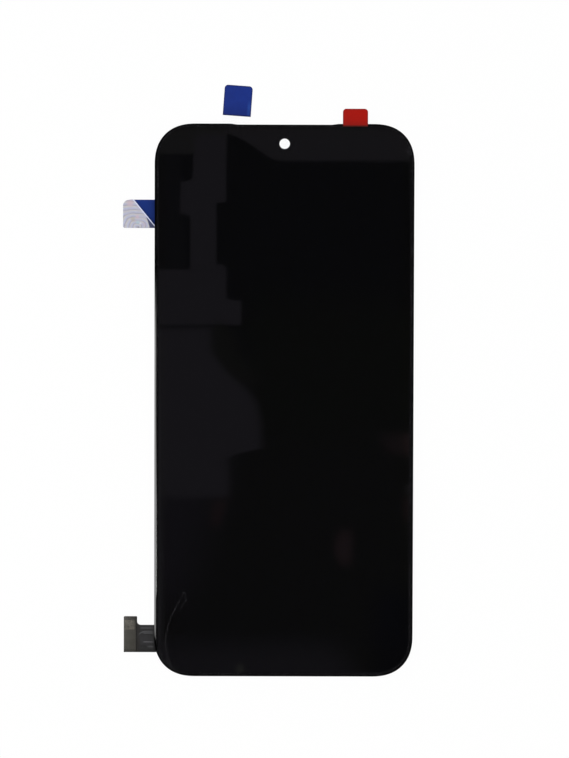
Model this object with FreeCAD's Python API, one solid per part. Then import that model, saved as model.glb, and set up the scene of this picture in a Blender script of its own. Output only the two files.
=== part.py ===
import FreeCAD, Part

import math
import os

from FreeCAD import Vector

# A phone's LCD screen assembly, lying on its back with the screen facing up.
# X is to the right and Y towards the phone's top edge, both from the cover glass's centre lines.
# Z is up, out of the screen. Z = 0 is the rear face of the rear protective film.
# Sizes are in millimetres and angles in degrees.

# Cover glass
glass_width = 69.0
glass_height = 147.2
glass_thickness = 0.60
corner_reach = 11.0
corner_ease_angle = 20.0
corner_ease_ratio = 1.9
rim_width = 1.2
rim_drop = 0.25
rear_edge_chamfer = 0.10
earpiece_recess_width = 26.9
earpiece_recess_depth = 0.24
earpiece_recess_ease = 2.4

# Black print on the back of the cover glass
print_thickness = 0.03
print_edge_margin = 0.20
side_border = 3.2
top_border = 3.3
chin_border = 7.2
view_corner_radius = 5.5
camera_window_radius = 1.40
camera_print_width = 0.80
camera_to_top_edge = 5.28

# Where the backlight tray lies behind the cover glass
side_ledge = 1.5
top_ledge = 1.7
bottom_ledge = 3.0
tray_top_radius = 7.0
tray_bottom_radius = 3.0

# Thickness of each layer, from the back to the front
rear_film_thickness = 0.06
tray_thickness = 0.12
reflector_thickness = 0.09
light_guide_thickness = 0.36
diffuser_thickness = 0.05
prism_film_thickness = 0.06
rim_tape_thickness = 0.05
polariser_thickness = 0.09
cell_glass_thickness = 0.20
adhesive_thickness = 0.125
front_film_thickness = 0.06
tab_thickness = 0.08

# Backlight tray and its moulded frame
tray_wall_height = 0.80
tray_end_wall_height = 0.42
tray_corner_relief = 1.0
snap_window_length = 3.0
snap_window_height = 0.22
snap_window_count = 4
frame_clearance = 0.03
frame_rail_width = 0.90
frame_rim_width = 0.25
frame_rim_height = 0.28
frame_inner_corner = 1.5
smallest_corner = 0.5
stack_clearance = 0.05
cell_clearance = 0.10
rim_tape_overlap = 0.50
rim_tape_window_margin = 0.25
prism_film_tab_width = 4.0
prism_film_tab_depth = 0.30
reflector_corner_cut = 1.5

# Camera hole
camera_bore_radius = 1.70
camera_ring_clearance = 0.07
camera_ring_wall = 0.36
camera_hole_clearance = 0.08
camera_seal_wall = 0.14
camera_web_width = 2.2

# Light bar
led_count = 12
led_length = 3.0
led_depth = 0.60
led_gap_to_guide = 0.04
led_lens_inset = 0.25
led_lens_margin = 0.06
led_lens_depth = 0.12
led_flex_thickness = 0.08
led_flex_overlap = 1.2
led_flex_end_margin = 2.0
led_tail_width = 5.0
led_tail_offset = 23.0
led_tail_length = 4.0
light_guide_end_margin = 2.05
light_guide_corner_cut = 0.8

# Display cell
array_ledge = 3.1
array_end_clearance = 0.30
cell_corner_radius = 6.4
array_corner_cut = 1.5
polariser_margin = 0.35
rear_polariser_past_filter = 1.0
driver_chip_length = 22.0
driver_chip_depth = 1.0
driver_chip_from_filter = 0.65
driver_tape_thickness = 0.05
driver_tape_length = 30.0
driver_tape_depth = 1.5

# Main flex
flex_thickness = 0.10
flex_tape_thickness = 0.05
flex_bond_width = 40.0
flex_bond_depth = 1.0
flex_fold_clearance = 0.02
flex_panel_width = 56.0
flex_panel_from_fold = 0.9
flex_corner_radius = 0.8
tail_reach = 8.25
tail_width = 7.33
tail_to_bottom_edge = 6.07
tail_rise = 0.30
tail_bend_radius = 1.5
tail_bend_from_tray = 0.4
tail_end_length = 3.55
tail_end_width = 9.65
tail_end_corner_radius = 0.25
tail_fillet = 1.0
flex_tape_margin = 1.0

# Parts on the main flex
capacitor_count = 9
capacitor_length = 1.0
capacitor_width = 0.5
capacitor_height = 0.45
capacitor_cap_length = 0.25
capacitor_cap_step = 0.025
capacitor_pitch = 1.7
capacitor_row_from_end = 9.0
memory_chip_length = 3.0
memory_chip_width = 2.0
memory_chip_height = 0.50
memory_chip_from_end = 19.0
memory_lead_count = 4
memory_lead_pitch = 0.5
memory_lead_width = 0.22
memory_lead_length = 0.30
memory_lead_height = 0.12
diode_length = 1.6
diode_width = 0.8
diode_height = 0.50
diode_row_from_end = 12.5
diode_count = 2
diode_pitch = 2.6

# Connector on the end of the tail
connector_length = 8.4
connector_width = 2.3
connector_height = 0.62
connector_pocket_margin = 0.50
connector_pocket_depth = 0.44
connector_edge_chamfer = 0.08
contact_pitch = 0.40
contact_count = 17
contact_width = 0.18
contact_metal = 0.06
contact_foot = 0.28
hold_down_length = 0.34
stiffener_thickness = 0.18
stiffener_margin = 0.06
stiffener_inner_margin = 0.25
pad_width = 2.6
pad_length = 2.6
pad_thickness = 0.06
pad_from_end = 0.95
pad_from_tip = 0.30

# Protective films and their pull tabs
front_film_margin = 0.60
front_film_turn = -0.10
front_film_corner_radius = 9.0
red_tab_width = 6.65
red_tab_length = 4.75
red_tab_offset = 18.62
red_tab_beyond_edge = 4.0
red_tab_radius = 0.9
rear_film_margin = 0.6
rear_film_to_flex = 0.8
top_tab_width = 7.48
top_tab_length = 8.1
top_tab_offset = -12.52
top_tab_beyond_edge = 10.4
top_tab_turn = -4.1
top_tab_radius = 0.7
top_tongue_overlap = 7.3
side_tab_width = 7.53
side_tab_from_top = 20.03
side_tab_reach = 8.55
side_tab_radius = 1.2
side_tab_lower_radius = 0.6
side_tab_fold_gap = 0.16
side_tab_flap_lift = 3.2
side_tab_flap_short = 2.9
side_tab_flap_long = 9.05
side_tab_start = 0.25

# How far each cutter runs past what it cuts
cut_margin = 1.0

# Levels of the stack, from the back to the front
tray_back = rear_film_thickness
tray_floor = tray_back + tray_thickness
guide_back = tray_floor + reflector_thickness
guide_front = guide_back + light_guide_thickness
lower_prism_back = guide_front + diffuser_thickness
upper_prism_back = lower_prism_back + prism_film_thickness
stack_front = upper_prism_back + prism_film_thickness
rear_polariser_back = stack_front + rim_tape_thickness
array_back = rear_polariser_back + polariser_thickness
array_front = array_back + cell_glass_thickness
filter_front = array_front + cell_glass_thickness
adhesive_back = filter_front + polariser_thickness
print_back = adhesive_back + adhesive_thickness
glass_back = print_back + print_thickness
glass_front = glass_back + glass_thickness
film_front = glass_front + front_film_thickness

# Plan positions that several pieces share
tray_side = glass_width / 2 - side_ledge
tray_top = glass_height / 2 - top_ledge
tray_bottom = -glass_height / 2 + bottom_ledge
camera_y = glass_height / 2 - camera_to_top_edge
frame_outer_inset = tray_thickness + frame_clearance
rim_inner_inset = frame_outer_inset + frame_rim_width
rail_inner_inset = frame_outer_inset + frame_rail_width
stack_inset = rail_inner_inset + stack_clearance
cell_inset = rim_inner_inset + cell_clearance
array_bottom = tray_bottom + array_end_clearance
filter_bottom = array_bottom + array_ledge
guide_bottom = tray_bottom + light_guide_end_margin
films_bottom = guide_bottom + led_flex_overlap + stack_clearance
camera_ring_inner = camera_bore_radius + tray_thickness + camera_ring_clearance
camera_ring_outer = camera_ring_inner + camera_ring_wall
camera_stack_hole = camera_ring_outer + camera_hole_clearance
camera_seal_inner = camera_bore_radius
camera_cell_hole = camera_seal_inner + camera_seal_wall + frame_clearance
camera_film_hole = camera_cell_hole + camera_ring_wall
flex_front = tray_back - flex_tape_thickness
flex_back = flex_front - flex_thickness
tail_bottom = -glass_height / 2 + tail_to_bottom_edge
tail_top = tail_bottom + tail_width
tail_tip = -glass_width / 2 - tail_reach
tail_front = flex_front + tail_rise
tail_back = flex_back + tail_rise
fold_y = tray_bottom - flex_fold_clearance
panel_bottom = fold_y + flex_panel_from_fold
side_tab_top = glass_height / 2 - side_tab_from_top


def polar(center, radius, degrees):
    angle = math.radians(degrees)
    return center + Vector(radius * math.cos(angle), radius * math.sin(angle), 0)


def arc(center, radius, start, end):
    middle = polar(center, radius, (start + end) / 2)
    return Part.Arc(polar(center, radius, start), middle, polar(center, radius, end)).toShape()


def line(start, end):
    return Part.LineSegment(start, end).toShape()


def extrude(wire, bottom, top, holes=()):
    """A plate with the wire's outline between two levels, with the cutters taken out."""
    face = Part.Face(wire)
    face.translate(Vector(0, 0, bottom))
    solid = face.extrude(Vector(0, 0, top - bottom))
    if holes:
        solid = solid.cut(list(holes))
    return solid


def box(x0, x1, y0, y1, z0, z1):
    return Part.makeBox(x1 - x0, y1 - y0, z1 - z0, Vector(x0, y0, z0))


def cylinder(radius, bottom, top, x=0.0, y=0.0):
    return Part.makeCylinder(radius, top - bottom, Vector(x, y, bottom))


def camera_cutter(radius):
    """A cutter for the camera hole that passes through every layer."""
    return cylinder(radius, -cut_margin, film_front + cut_margin, 0, camera_y)


def rounded_wire(x0, x1, y0, y1, top_radius, bottom_radius=0.0, bottom_cut=0.0):
    """A rectangle with rounded top corners; the bottom corners are rounded, cut off straight or sharp."""
    low = max(bottom_radius, bottom_cut)
    corners = [
        (Vector(x1 - top_radius, y1 - top_radius, 0), top_radius, 0),
        (Vector(x0 + top_radius, y1 - top_radius, 0), top_radius, 90),
        (Vector(x0 + low, y0 + low, 0), low, 180),
        (Vector(x1 - low, y0 + low, 0), low, 270),
    ]
    edges = []
    for number, (center, size, start) in enumerate(corners):
        after, next_size, next_start = corners[(number + 1) % 4]
        end = polar(center, size, start + 90)
        if size > 0 and (start < 180 or bottom_radius > 0):
            edges.append(arc(center, size, start, start + 90))
        elif size > 0:
            edges.append(line(polar(center, size, start), end))
        edges.append(line(end, polar(after, next_size, next_start)))
    return Part.Wire(edges)


def module_wire(inset, bottom=tray_bottom):
    """The tray's outline moved inwards by the inset, with its lower end where it is asked for."""
    top_radius = max(tray_top_radius - inset, smallest_corner)
    bottom_radius = max(tray_bottom_radius - inset, smallest_corner)
    side = tray_side - inset
    return rounded_wire(-side, side, bottom, tray_top - inset, top_radius, bottom_radius)


def film_wire(bottom, bottom_cut=0.0):
    """The outline of a backlight film inside the moulded frame's rails."""
    side = tray_side - stack_inset
    top_radius = max(tray_top_radius - stack_inset, smallest_corner)
    return rounded_wire(-side, side, bottom, tray_top - stack_inset, top_radius, 0, bottom_cut)


def cell_wire(bottom, inset=0.0, bottom_cut=0.0):
    """The display cell's outline moved inwards by the inset, with its lower end where it is asked for."""
    side = tray_side - cell_inset - inset
    top = tray_top - cell_inset - inset
    top_radius = max(cell_corner_radius - inset, smallest_corner)
    return rounded_wire(-side, side, bottom, top, top_radius, 0, bottom_cut)


def corner_arcs(inset, quarter):
    """One corner of the cover glass: a tight arc between two gentle ones, tangent to the sides."""
    ease = math.radians(corner_ease_angle)
    spread = corner_ease_ratio * (1 - math.cos(ease) + math.sin(ease))
    tight = corner_reach / (spread + math.cos(ease) - math.sin(ease))
    gentle = corner_ease_ratio * tight
    half_width = glass_width / 2
    half_height = glass_height / 2
    first = Vector(half_width - gentle, half_height - corner_reach, 0)
    middle = polar(first, gentle - tight, corner_ease_angle)
    last = Vector(half_width - corner_reach, half_height - gentle, 0)
    pieces = [
        (first, gentle - inset, 0, corner_ease_angle),
        (middle, tight - inset, corner_ease_angle, 90 - corner_ease_angle),
        (last, gentle - inset, 90 - corner_ease_angle, 90),
    ]
    mirror_x = quarter in (1, 2)
    mirror_y = quarter in (2, 3)
    result = []
    for center, radius, start, end in pieces:
        x = -center.x if mirror_x else center.x
        y = -center.y if mirror_y else center.y
        if mirror_x:
            start, end = 180 - start, 180 - end
        if mirror_y:
            start, end = -start, -end
        result.append((Vector(x, y, 0), radius, start, end))
    if quarter in (1, 3):
        result = [(center, radius, end, start) for center, radius, start, end in reversed(result)]
    return result


def recess_edges(inset):
    """The shallow earpiece recess in the top edge, drawn from right to left with eased ends."""
    top = glass_height / 2 - inset
    low = top - earpiece_recess_depth
    half = earpiece_recess_ease / 2
    depth = earpiece_recess_depth
    radius = (earpiece_recess_ease**2 + depth**2) / (4 * depth)
    turn = math.degrees(math.asin(half / radius))
    outer = Vector(0, glass_height / 2 - radius, 0)
    inner = Vector(0, glass_height / 2 - depth + radius, 0)
    edges = []
    right = earpiece_recess_width / 2
    for side in (1, -1):
        middle = Vector(side * right, 0, 0)
        crown = outer + middle + Vector(side * half, 0, 0)
        valley = inner + middle - Vector(side * half, 0, 0)
        crown_arc = arc(crown, radius - inset, 90, 90 + side * turn)
        valley_arc = arc(valley, radius + inset, -90, -90 + side * turn)
        edges.append([crown_arc, valley_arc])
    right_end = Vector(right + half, top, 0)
    left_end = Vector(-right - half, top, 0)
    floor = line(Vector(right - half, low, 0), Vector(-right + half, low, 0))
    return right_end, left_end, edges[0] + [floor] + edges[1]


def glass_wire(inset, with_recess=True):
    """The cover glass's outline moved inwards by the inset."""
    edges = []
    ends = []
    for quarter in range(4):
        arcs = corner_arcs(inset, quarter)
        edges.append([arc(*piece) for piece in arcs])
        first, last = arcs[0], arcs[-1]
        ends.append((polar(first[0], first[1], first[2]), polar(last[0], last[1], last[3])))
    path = list(edges[0])
    if with_recess:
        right_end, left_end, recess = recess_edges(inset)
        path += [line(ends[0][1], right_end)] + recess + [line(left_end, ends[1][0])]
    else:
        path += [line(ends[0][1], ends[1][0])]
    path += edges[1] + [line(ends[1][1], ends[2][0])]
    path += edges[2] + [line(ends[2][1], ends[3][0])]
    path += edges[3] + [line(ends[3][1], ends[0][0])]
    return Part.Wire(Part.__sortEdges__(path))


def cover_glass():
    """The cover glass: a flat plate whose front rim curves down to a thin upright edge."""
    radius = (rim_width**2 + rim_drop**2) / (2 * rim_drop)
    turn = math.asin(rim_width / radius)
    side = glass_width / 2
    shoulder = glass_front - rim_drop
    arc_center = Vector(side - rim_width, 0, glass_front - radius)
    halfway = arc_center + Vector(radius * math.sin(turn / 2), 0, radius * math.cos(turn / 2))
    inner_top = Vector(side - rim_width, 0, glass_front)
    inner_back = Vector(side - rim_width, 0, glass_back)
    foot = Vector(side - rear_edge_chamfer, 0, glass_back)
    edge_low = Vector(side, 0, glass_back + rear_edge_chamfer)
    edge_high = Vector(side, 0, shoulder)
    profile = Part.Wire([
        line(inner_top, inner_back),
        line(inner_back, foot),
        line(foot, edge_low),
        line(edge_low, edge_high),
        Part.Arc(edge_high, halfway, inner_top).toShape(),
    ])
    rim = glass_wire(0).makePipeShell([profile], True, False)
    middle = extrude(glass_wire(rim_width), glass_back, glass_front)
    return middle.fuse(rim).removeSplitter()


def view_wire(inset=0.0):
    side = glass_width / 2 - side_border - inset
    top = glass_height / 2 - top_border - inset
    bottom = -glass_height / 2 + chin_border + inset
    return rounded_wire(-side, side, bottom, top, view_corner_radius, view_corner_radius)


def border_print():
    """The black ink: a border round the view area, joined to a ring round the camera window."""
    border = extrude(glass_wire(print_edge_margin), print_back, glass_back)
    window = extrude(view_wire(), print_back, glass_back)
    ring = cylinder(camera_window_radius + camera_print_width, print_back, glass_back, 0, camera_y)
    ink = border.cut(window).fuse(ring)
    return ink.cut(camera_cutter(camera_window_radius)).removeSplitter()


def optical_adhesive():
    """Clear adhesive over the whole cell; it fills the step where the black print ends."""
    wire = cell_wire(filter_bottom + polariser_margin, polariser_margin)
    layer = extrude(wire, adhesive_back, print_back)
    filling = extrude(view_wire(), print_back, glass_back)
    island = cylinder(camera_window_radius + camera_print_width, print_back, glass_back, 0, camera_y)
    whole = layer.fuse(filling.cut(island))
    return whole.cut(camera_cutter(camera_film_hole)).removeSplitter()


def front_polariser():
    wire = cell_wire(filter_bottom + polariser_margin, polariser_margin)
    return extrude(wire, filter_front, adhesive_back, [camera_cutter(camera_film_hole)])


def rear_polariser():
    wire = cell_wire(filter_bottom - rear_polariser_past_filter, polariser_margin)
    return extrude(wire, rear_polariser_back, array_back, [camera_cutter(camera_film_hole)])


def colour_filter_glass():
    return extrude(cell_wire(filter_bottom), array_front, filter_front, [camera_cutter(camera_cell_hole)])


def array_glass():
    """The cell's rear glass, longer than the filter glass and with its two lower corners cut off."""
    wire = cell_wire(array_bottom, 0, array_corner_cut)
    return extrude(wire, array_back, array_front, [camera_cutter(camera_cell_hole)])


def driver_chip():
    """The display driver, bonded to the part of the array glass that the filter glass leaves bare."""
    top = filter_bottom - driver_chip_from_filter
    half = driver_chip_length / 2
    return box(-half, half, top - driver_chip_depth, top, array_front, filter_front)


def driver_tape():
    """Black tape that keeps light off the driver chip."""
    middle = filter_bottom - driver_chip_from_filter - driver_chip_depth / 2
    half = driver_tape_length / 2
    low = middle - driver_tape_depth / 2
    high = middle + driver_tape_depth / 2
    return box(-half, half, low, high, filter_front, filter_front + driver_tape_thickness)


def rim_tape():
    """Black double-sided tape: a frame under the cell's edge and a ring round the camera hole."""
    inner_inset = stack_inset + rim_tape_overlap
    outer = extrude(cell_wire(array_bottom, 0, array_corner_cut), stack_front, rear_polariser_back)
    window_bottom = -glass_height / 2 + chin_border - rim_tape_window_margin
    window = extrude(module_wire(inner_inset, window_bottom), stack_front, rear_polariser_back)
    ring = cylinder(camera_stack_hole + rim_tape_overlap, stack_front, rear_polariser_back, 0, camera_y)
    tape = outer.cut(window.cut(ring))
    return tape.cut(camera_cutter(camera_cell_hole)).removeSplitter()


def stack_notch():
    """A cutter that lets the camera ring and its web into a film from the film's top edge."""
    hole = camera_cutter(camera_stack_hole)
    slot = box(
        -camera_web_width / 2 - camera_hole_clearance,
        camera_web_width / 2 + camera_hole_clearance,
        camera_y,
        tray_top,
        tray_back,
        stack_front + cut_margin,
    )
    return hole.fuse(slot)


def film_tabs(bottom, top):
    """Two ears on a prism film's sides, which drop into pockets in the frame's rails."""
    side = tray_side - stack_inset
    ears = []
    for sign in (1, -1):
        outer = sign * (side + prism_film_tab_depth)
        inner = sign * (side - prism_film_tab_depth)
        half = prism_film_tab_width / 2
        ears.append(box(min(inner, outer), max(inner, outer), -half, half, bottom, top))
    return ears


def prism_film_upper():
    film = extrude(film_wire(films_bottom), upper_prism_back, stack_front)
    return film.fuse(film_tabs(upper_prism_back, stack_front)).cut(stack_notch()).removeSplitter()


def prism_film_lower():
    film = extrude(film_wire(films_bottom), lower_prism_back, upper_prism_back)
    return film.fuse(film_tabs(lower_prism_back, upper_prism_back)).cut(stack_notch()).removeSplitter()


def diffuser_film():
    film = extrude(film_wire(films_bottom), guide_front, lower_prism_back)
    return film.cut(stack_notch()).removeSplitter()


def light_guide():
    """The clear light guide; its lower edge faces the lamps."""
    wire = film_wire(guide_bottom, light_guide_corner_cut)
    return extrude(wire, guide_back, guide_front, [stack_notch()])


def reflector_film():
    wire = film_wire(tray_bottom + stack_inset, reflector_corner_cut)
    return extrude(wire, tray_floor, guide_back, [stack_notch()])


def backlight_frame():
    """The moulded frame: rails round the film stack, a rim round the cell and the camera ring."""
    rim_front = stack_front + frame_rim_height
    outer_bottom = tray_bottom + frame_outer_inset
    body = extrude(module_wire(frame_outer_inset, outer_bottom), tray_floor, rim_front)
    seat_bottom = tray_bottom - tray_bottom_radius - cut_margin
    seat = extrude(module_wire(rim_inner_inset, seat_bottom), stack_front, rim_front)
    hollow_wire = rounded_wire(
        -tray_side + rail_inner_inset,
        tray_side - rail_inner_inset,
        tray_bottom + rail_inner_inset,
        tray_top - rail_inner_inset,
        tray_top_radius - rail_inner_inset,
        frame_inner_corner,
    )
    hollow = extrude(hollow_wire, tray_floor, stack_front)
    frame = body.cut([seat, hollow])
    ring = cylinder(camera_ring_outer, tray_floor, stack_front, 0, camera_y)
    half_web = camera_web_width / 2
    web_top = tray_top - rim_inner_inset
    web = box(-half_web, half_web, camera_y, web_top, tray_floor, stack_front)
    frame = frame.fuse([ring, web]).cut(camera_cutter(camera_ring_inner))
    pocket_half = prism_film_tab_width / 2 + stack_clearance
    pocket_outer = tray_side - stack_inset + prism_film_tab_depth + stack_clearance
    cutters = []
    for sign in (1, -1):
        inner = sign * (tray_side - rail_inner_inset - cut_margin)
        outer = sign * pocket_outer
        cutters.append(box(
            min(inner, outer),
            max(inner, outer),
            -pocket_half,
            pocket_half,
            lower_prism_back,
            stack_front,
        ))
    cutters.append(tail_gap(led_tail_width / 2 + stack_clearance, guide_front, stack_front))
    return frame.cut(cutters).fuse(snap_bosses()).removeSplitter()


def tail_gap(half_width, bottom, top):
    """The gap in the frame's lower rail where the light bar's tail comes out."""
    return box(
        led_tail_offset - half_width,
        led_tail_offset + half_width,
        tray_bottom - cut_margin,
        tray_bottom + rail_inner_inset + cut_margin,
        bottom,
        top,
    )


def snap_places():
    """The middles of the snap windows along one long side of the tray."""
    straight = tray_top - tray_top_radius - tray_bottom - tray_bottom_radius
    middle = (tray_top - tray_top_radius + tray_bottom + tray_bottom_radius) / 2
    pitch = straight / snap_window_count
    return [middle + pitch * (number - (snap_window_count - 1) / 2) for number in range(snap_window_count)]


def snap_blocks(length, bottom, top, depth):
    """Blocks that cross the tray's long walls at the snap places."""
    blocks = []
    for place in snap_places():
        for sign in (1, -1):
            inner = sign * (tray_side - frame_outer_inset - frame_clearance)
            outer = sign * (tray_side - frame_outer_inset + depth)
            blocks.append(box(
                min(inner, outer),
                max(inner, outer),
                place - length / 2,
                place + length / 2,
                bottom,
                top,
            ))
    return blocks


def snap_level():
    return (tray_floor + tray_floor + tray_wall_height) / 2


def snap_bosses():
    """Small bosses on the frame that snap into the tray's windows."""
    half = snap_window_height / 2 - frame_clearance
    length = snap_window_length - 2 * frame_clearance
    depth = frame_clearance + tray_thickness / 2
    return snap_blocks(length, snap_level() - half, snap_level() + half, depth)


def backlight_tray():
    """The stamped steel tray: a floor, walls with snap windows and a drawn collar for the camera."""
    wall_front = tray_floor + tray_wall_height
    body = extrude(module_wire(0), tray_back, wall_front)
    hollow = extrude(module_wire(tray_thickness, tray_bottom + tray_thickness), tray_floor, wall_front)
    tray = body.cut(hollow)
    cutters = []
    for sign in (1, -1):
        for corner_y, radius in ((tray_top, tray_top_radius), (tray_bottom, tray_bottom_radius)):
            reach = radius + tray_corner_relief
            inner_x = sign * (tray_side - reach)
            outer_x = sign * (tray_side + cut_margin)
            toward = 1 if corner_y > 0 else -1
            inner_y = corner_y - toward * reach
            outer_y = corner_y + toward * cut_margin
            cutters.append(box(
                min(inner_x, outer_x),
                max(inner_x, outer_x),
                min(inner_y, outer_y),
                max(inner_y, outer_y),
                tray_floor,
                wall_front,
            ))
    end_half = tray_side - tray_bottom_radius
    cutters.append(box(
        -end_half,
        end_half,
        tray_bottom - cut_margin,
        tray_bottom + tray_thickness + cut_margin,
        tray_floor + tray_end_wall_height,
        wall_front,
    ))
    low = snap_level() - snap_window_height / 2
    high = snap_level() + snap_window_height / 2
    cutters += snap_blocks(snap_window_length, low, high, 2 * tray_thickness)
    tray = tray.cut(cutters)
    collar = cylinder(camera_bore_radius + tray_thickness, tray_back, stack_front, 0, camera_y)
    return tray.fuse(collar).cut(camera_cutter(camera_bore_radius)).removeSplitter()


def camera_seal():
    """The black ring that lines the cell's camera hole, from the tray's collar to the print."""
    outer = cylinder(camera_seal_inner + camera_seal_wall, stack_front, print_back, 0, camera_y)
    return outer.cut(camera_cutter(camera_seal_inner))


def led_places():
    usable = 2 * (tray_side - tray_bottom_radius) - led_length
    pitch = usable / (led_count - 1)
    return [pitch * (number - (led_count - 1) / 2) for number in range(led_count)]


def backlight_leds():
    """Side-firing lamps: each is a white block with a shallow lens pocket facing the light guide."""
    front = guide_bottom - led_gap_to_guide
    lamps = []
    for place in led_places():
        half = led_length / 2
        body = box(place - half, place + half, front - led_depth, front, guide_back, guide_front)
        inner = half - led_lens_inset
        pocket = box(
            place - inner,
            place + inner,
            front - led_lens_depth,
            front,
            guide_back + led_lens_margin,
            guide_front - led_lens_margin,
        )
        lamps.append(body.cut(pocket))
    return Part.makeCompound(lamps)


def yz_strip(outline, x0, x1):
    """Extrude an outline given as (y, z) edges along X."""
    face = Part.Face(Part.Wire(outline))
    face.translate(Vector(x0, 0, 0))
    return face.extrude(Vector(x1 - x0, 0, 0))


def fold(center_y, outer_front, inner_front, inner_back, outer_back, x0, x1):
    """A half turn of flex round the module's lower edge, from the front side to the back."""
    middle_z = (inner_front + inner_back) / 2
    outer_radius = (outer_front - outer_back) / 2
    inner_radius = (inner_front - inner_back) / 2

    def at(y, z):
        return Vector(0, y, z)

    outline = [
        Part.Arc(
            at(center_y, outer_front),
            at(center_y - outer_radius, middle_z),
            at(center_y, outer_back),
        ).toShape(),
        line(at(center_y, outer_back), at(center_y, inner_back)),
        Part.Arc(
            at(center_y, inner_back),
            at(center_y - inner_radius, middle_z),
            at(center_y, inner_front),
        ).toShape(),
        line(at(center_y, inner_front), at(center_y, outer_front)),
    ]
    return yz_strip(outline, x0, x1)


def led_flex():
    """The light bar's flex over the lamps, with a tail folded behind and soldered to the main flex."""
    front = guide_front + led_flex_thickness
    half = tray_side - rail_inner_inset - led_flex_end_margin
    low = tray_bottom + rail_inner_inset + stack_clearance
    bar = box(-half, half, low, guide_bottom + led_flex_overlap, guide_front, front)
    tail_left = led_tail_offset - led_tail_width / 2
    tail_right = led_tail_offset + led_tail_width / 2
    neck = box(tail_left, tail_right, fold_y, low, guide_front, front)
    back = flex_back - led_flex_thickness
    turn = fold(fold_y, front, guide_front, flex_back, back, tail_left, tail_right)
    tail = box(tail_left, tail_right, fold_y, fold_y + led_tail_length, back, flex_back)
    return bar.fuse([neck, turn, tail]).removeSplitter()


def flex_panel_wire():
    """The flex's flat rear panel: a lip at the fold, a wide body and the start of the tail."""
    half_lip = flex_bond_width / 2
    half = flex_panel_width / 2
    radius = flex_corner_radius
    bend_start = -tray_side - tail_bend_from_tray
    top = tail_top
    right_top = Vector(half - radius, top - radius, 0)
    right_low = Vector(half - radius, panel_bottom + radius, 0)
    left_low = Vector(-half + radius, panel_bottom + radius, 0)
    inner = Vector(-half - radius, tail_bottom - radius, 0)
    edges = [
        line(Vector(-half_lip, fold_y, 0), Vector(half_lip, fold_y, 0)),
        line(Vector(half_lip, fold_y, 0), Vector(half_lip, panel_bottom, 0)),
        line(Vector(half_lip, panel_bottom, 0), polar(right_low, radius, 270)),
        arc(right_low, radius, 270, 360),
        line(polar(right_low, radius, 0), polar(right_top, radius, 0)),
        arc(right_top, radius, 0, 90),
        line(polar(right_top, radius, 90), Vector(bend_start, top, 0)),
        line(Vector(bend_start, top, 0), Vector(bend_start, tail_bottom, 0)),
        line(Vector(bend_start, tail_bottom, 0), polar(inner, radius, 90)),
        arc(inner, radius, 90, 0),
        line(polar(inner, radius, 0), polar(left_low, radius, 180)),
        arc(left_low, radius, 180, 270),
        line(polar(left_low, radius, 270), Vector(-half_lip, panel_bottom, 0)),
        line(Vector(-half_lip, panel_bottom, 0), Vector(-half_lip, fold_y, 0)),
    ]
    return Part.Wire(edges)


def bend_angle():
    return math.acos(1 - tail_rise / (2 * tail_bend_radius))


def bend_run():
    """The length along X of the tail's double bend."""
    return 2 * tail_bend_radius * math.sin(bend_angle())


def tail_bend():
    """A gentle double bend that lifts the tail, so that its connector clears the surface below."""
    angle = bend_angle()
    start_x = -tray_side - tail_bend_from_tray
    middle_z = (flex_front + flex_back) / 2
    lower_center = Vector(start_x, 0, middle_z + tail_bend_radius)
    upper_center = Vector(start_x - bend_run(), 0, middle_z + tail_rise - tail_bend_radius)
    half = flex_thickness / 2

    def at(center, radius, turn, sign):
        return center + Vector(-sign * radius * math.sin(turn), 0, -sign * radius * math.cos(turn))

    def side(lower_radius, upper_radius):
        lower = [at(lower_center, lower_radius, share * angle, 1) for share in (0, 0.5, 1)]
        upper = [at(upper_center, upper_radius, share * angle, -1) for share in (1, 0.5, 0)]
        return [Part.Arc(*lower).toShape(), Part.Arc(*upper).toShape()], lower[0], upper[2]

    back_edges, back_start, back_end = side(tail_bend_radius + half, tail_bend_radius - half)
    front_edges, front_start, front_end = side(tail_bend_radius - half, tail_bend_radius + half)
    ends = [line(back_end, front_end), line(front_start, back_start)]
    face = Part.Face(Part.Wire(Part.__sortEdges__(back_edges + front_edges + ends)))
    face.translate(Vector(0, tail_bottom, 0))
    return face.extrude(Vector(0, tail_width, 0))


def tail_end_wire(margin=0.0):
    """The tail's end: a short strip and a wider pad for the connector, with a rounded inner corner."""
    left = tail_tip + margin
    right = tail_tip + tail_end_length
    low = tail_bottom
    high = low + tail_end_width
    bend_end = -tray_side - tail_bend_from_tray - bend_run()
    radius = tail_end_corner_radius
    inner = Vector(right + tail_fillet, tail_top + tail_fillet, 0)
    edges = [
        line(Vector(bend_end, low, 0), Vector(bend_end, tail_top, 0)),
        line(Vector(bend_end, tail_top, 0), Vector(right + tail_fillet, tail_top, 0)),
        arc(inner, tail_fillet, 270, 180),
        line(Vector(right, tail_top + tail_fillet, 0), Vector(right, high - radius, 0)),
        arc(Vector(right - radius, high - radius, 0), radius, 0, 90),
        line(Vector(right - radius, high, 0), Vector(left + radius, high, 0)),
        arc(Vector(left + radius, high - radius, 0), radius, 90, 180),
        line(Vector(left, high - radius, 0), Vector(left, low, 0)),
        line(Vector(left, low, 0), Vector(bend_end, low, 0)),
    ]
    return Part.Wire(edges)


def main_flex():
    """The main flex: bonded to the array glass, folded behind and run out to the left as a tail."""
    half = flex_bond_width / 2
    lip_front = array_front + flex_thickness
    lip = box(-half, half, fold_y, array_bottom + flex_bond_depth, array_front, lip_front)
    turn = fold(fold_y, lip_front, array_front, flex_front, flex_back, -half, half)
    panel = extrude(flex_panel_wire(), flex_back, flex_front)
    end = extrude(tail_end_wire(), tail_back, tail_front)
    return lip.fuse([turn, panel, tail_bend(), end]).removeSplitter()


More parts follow.
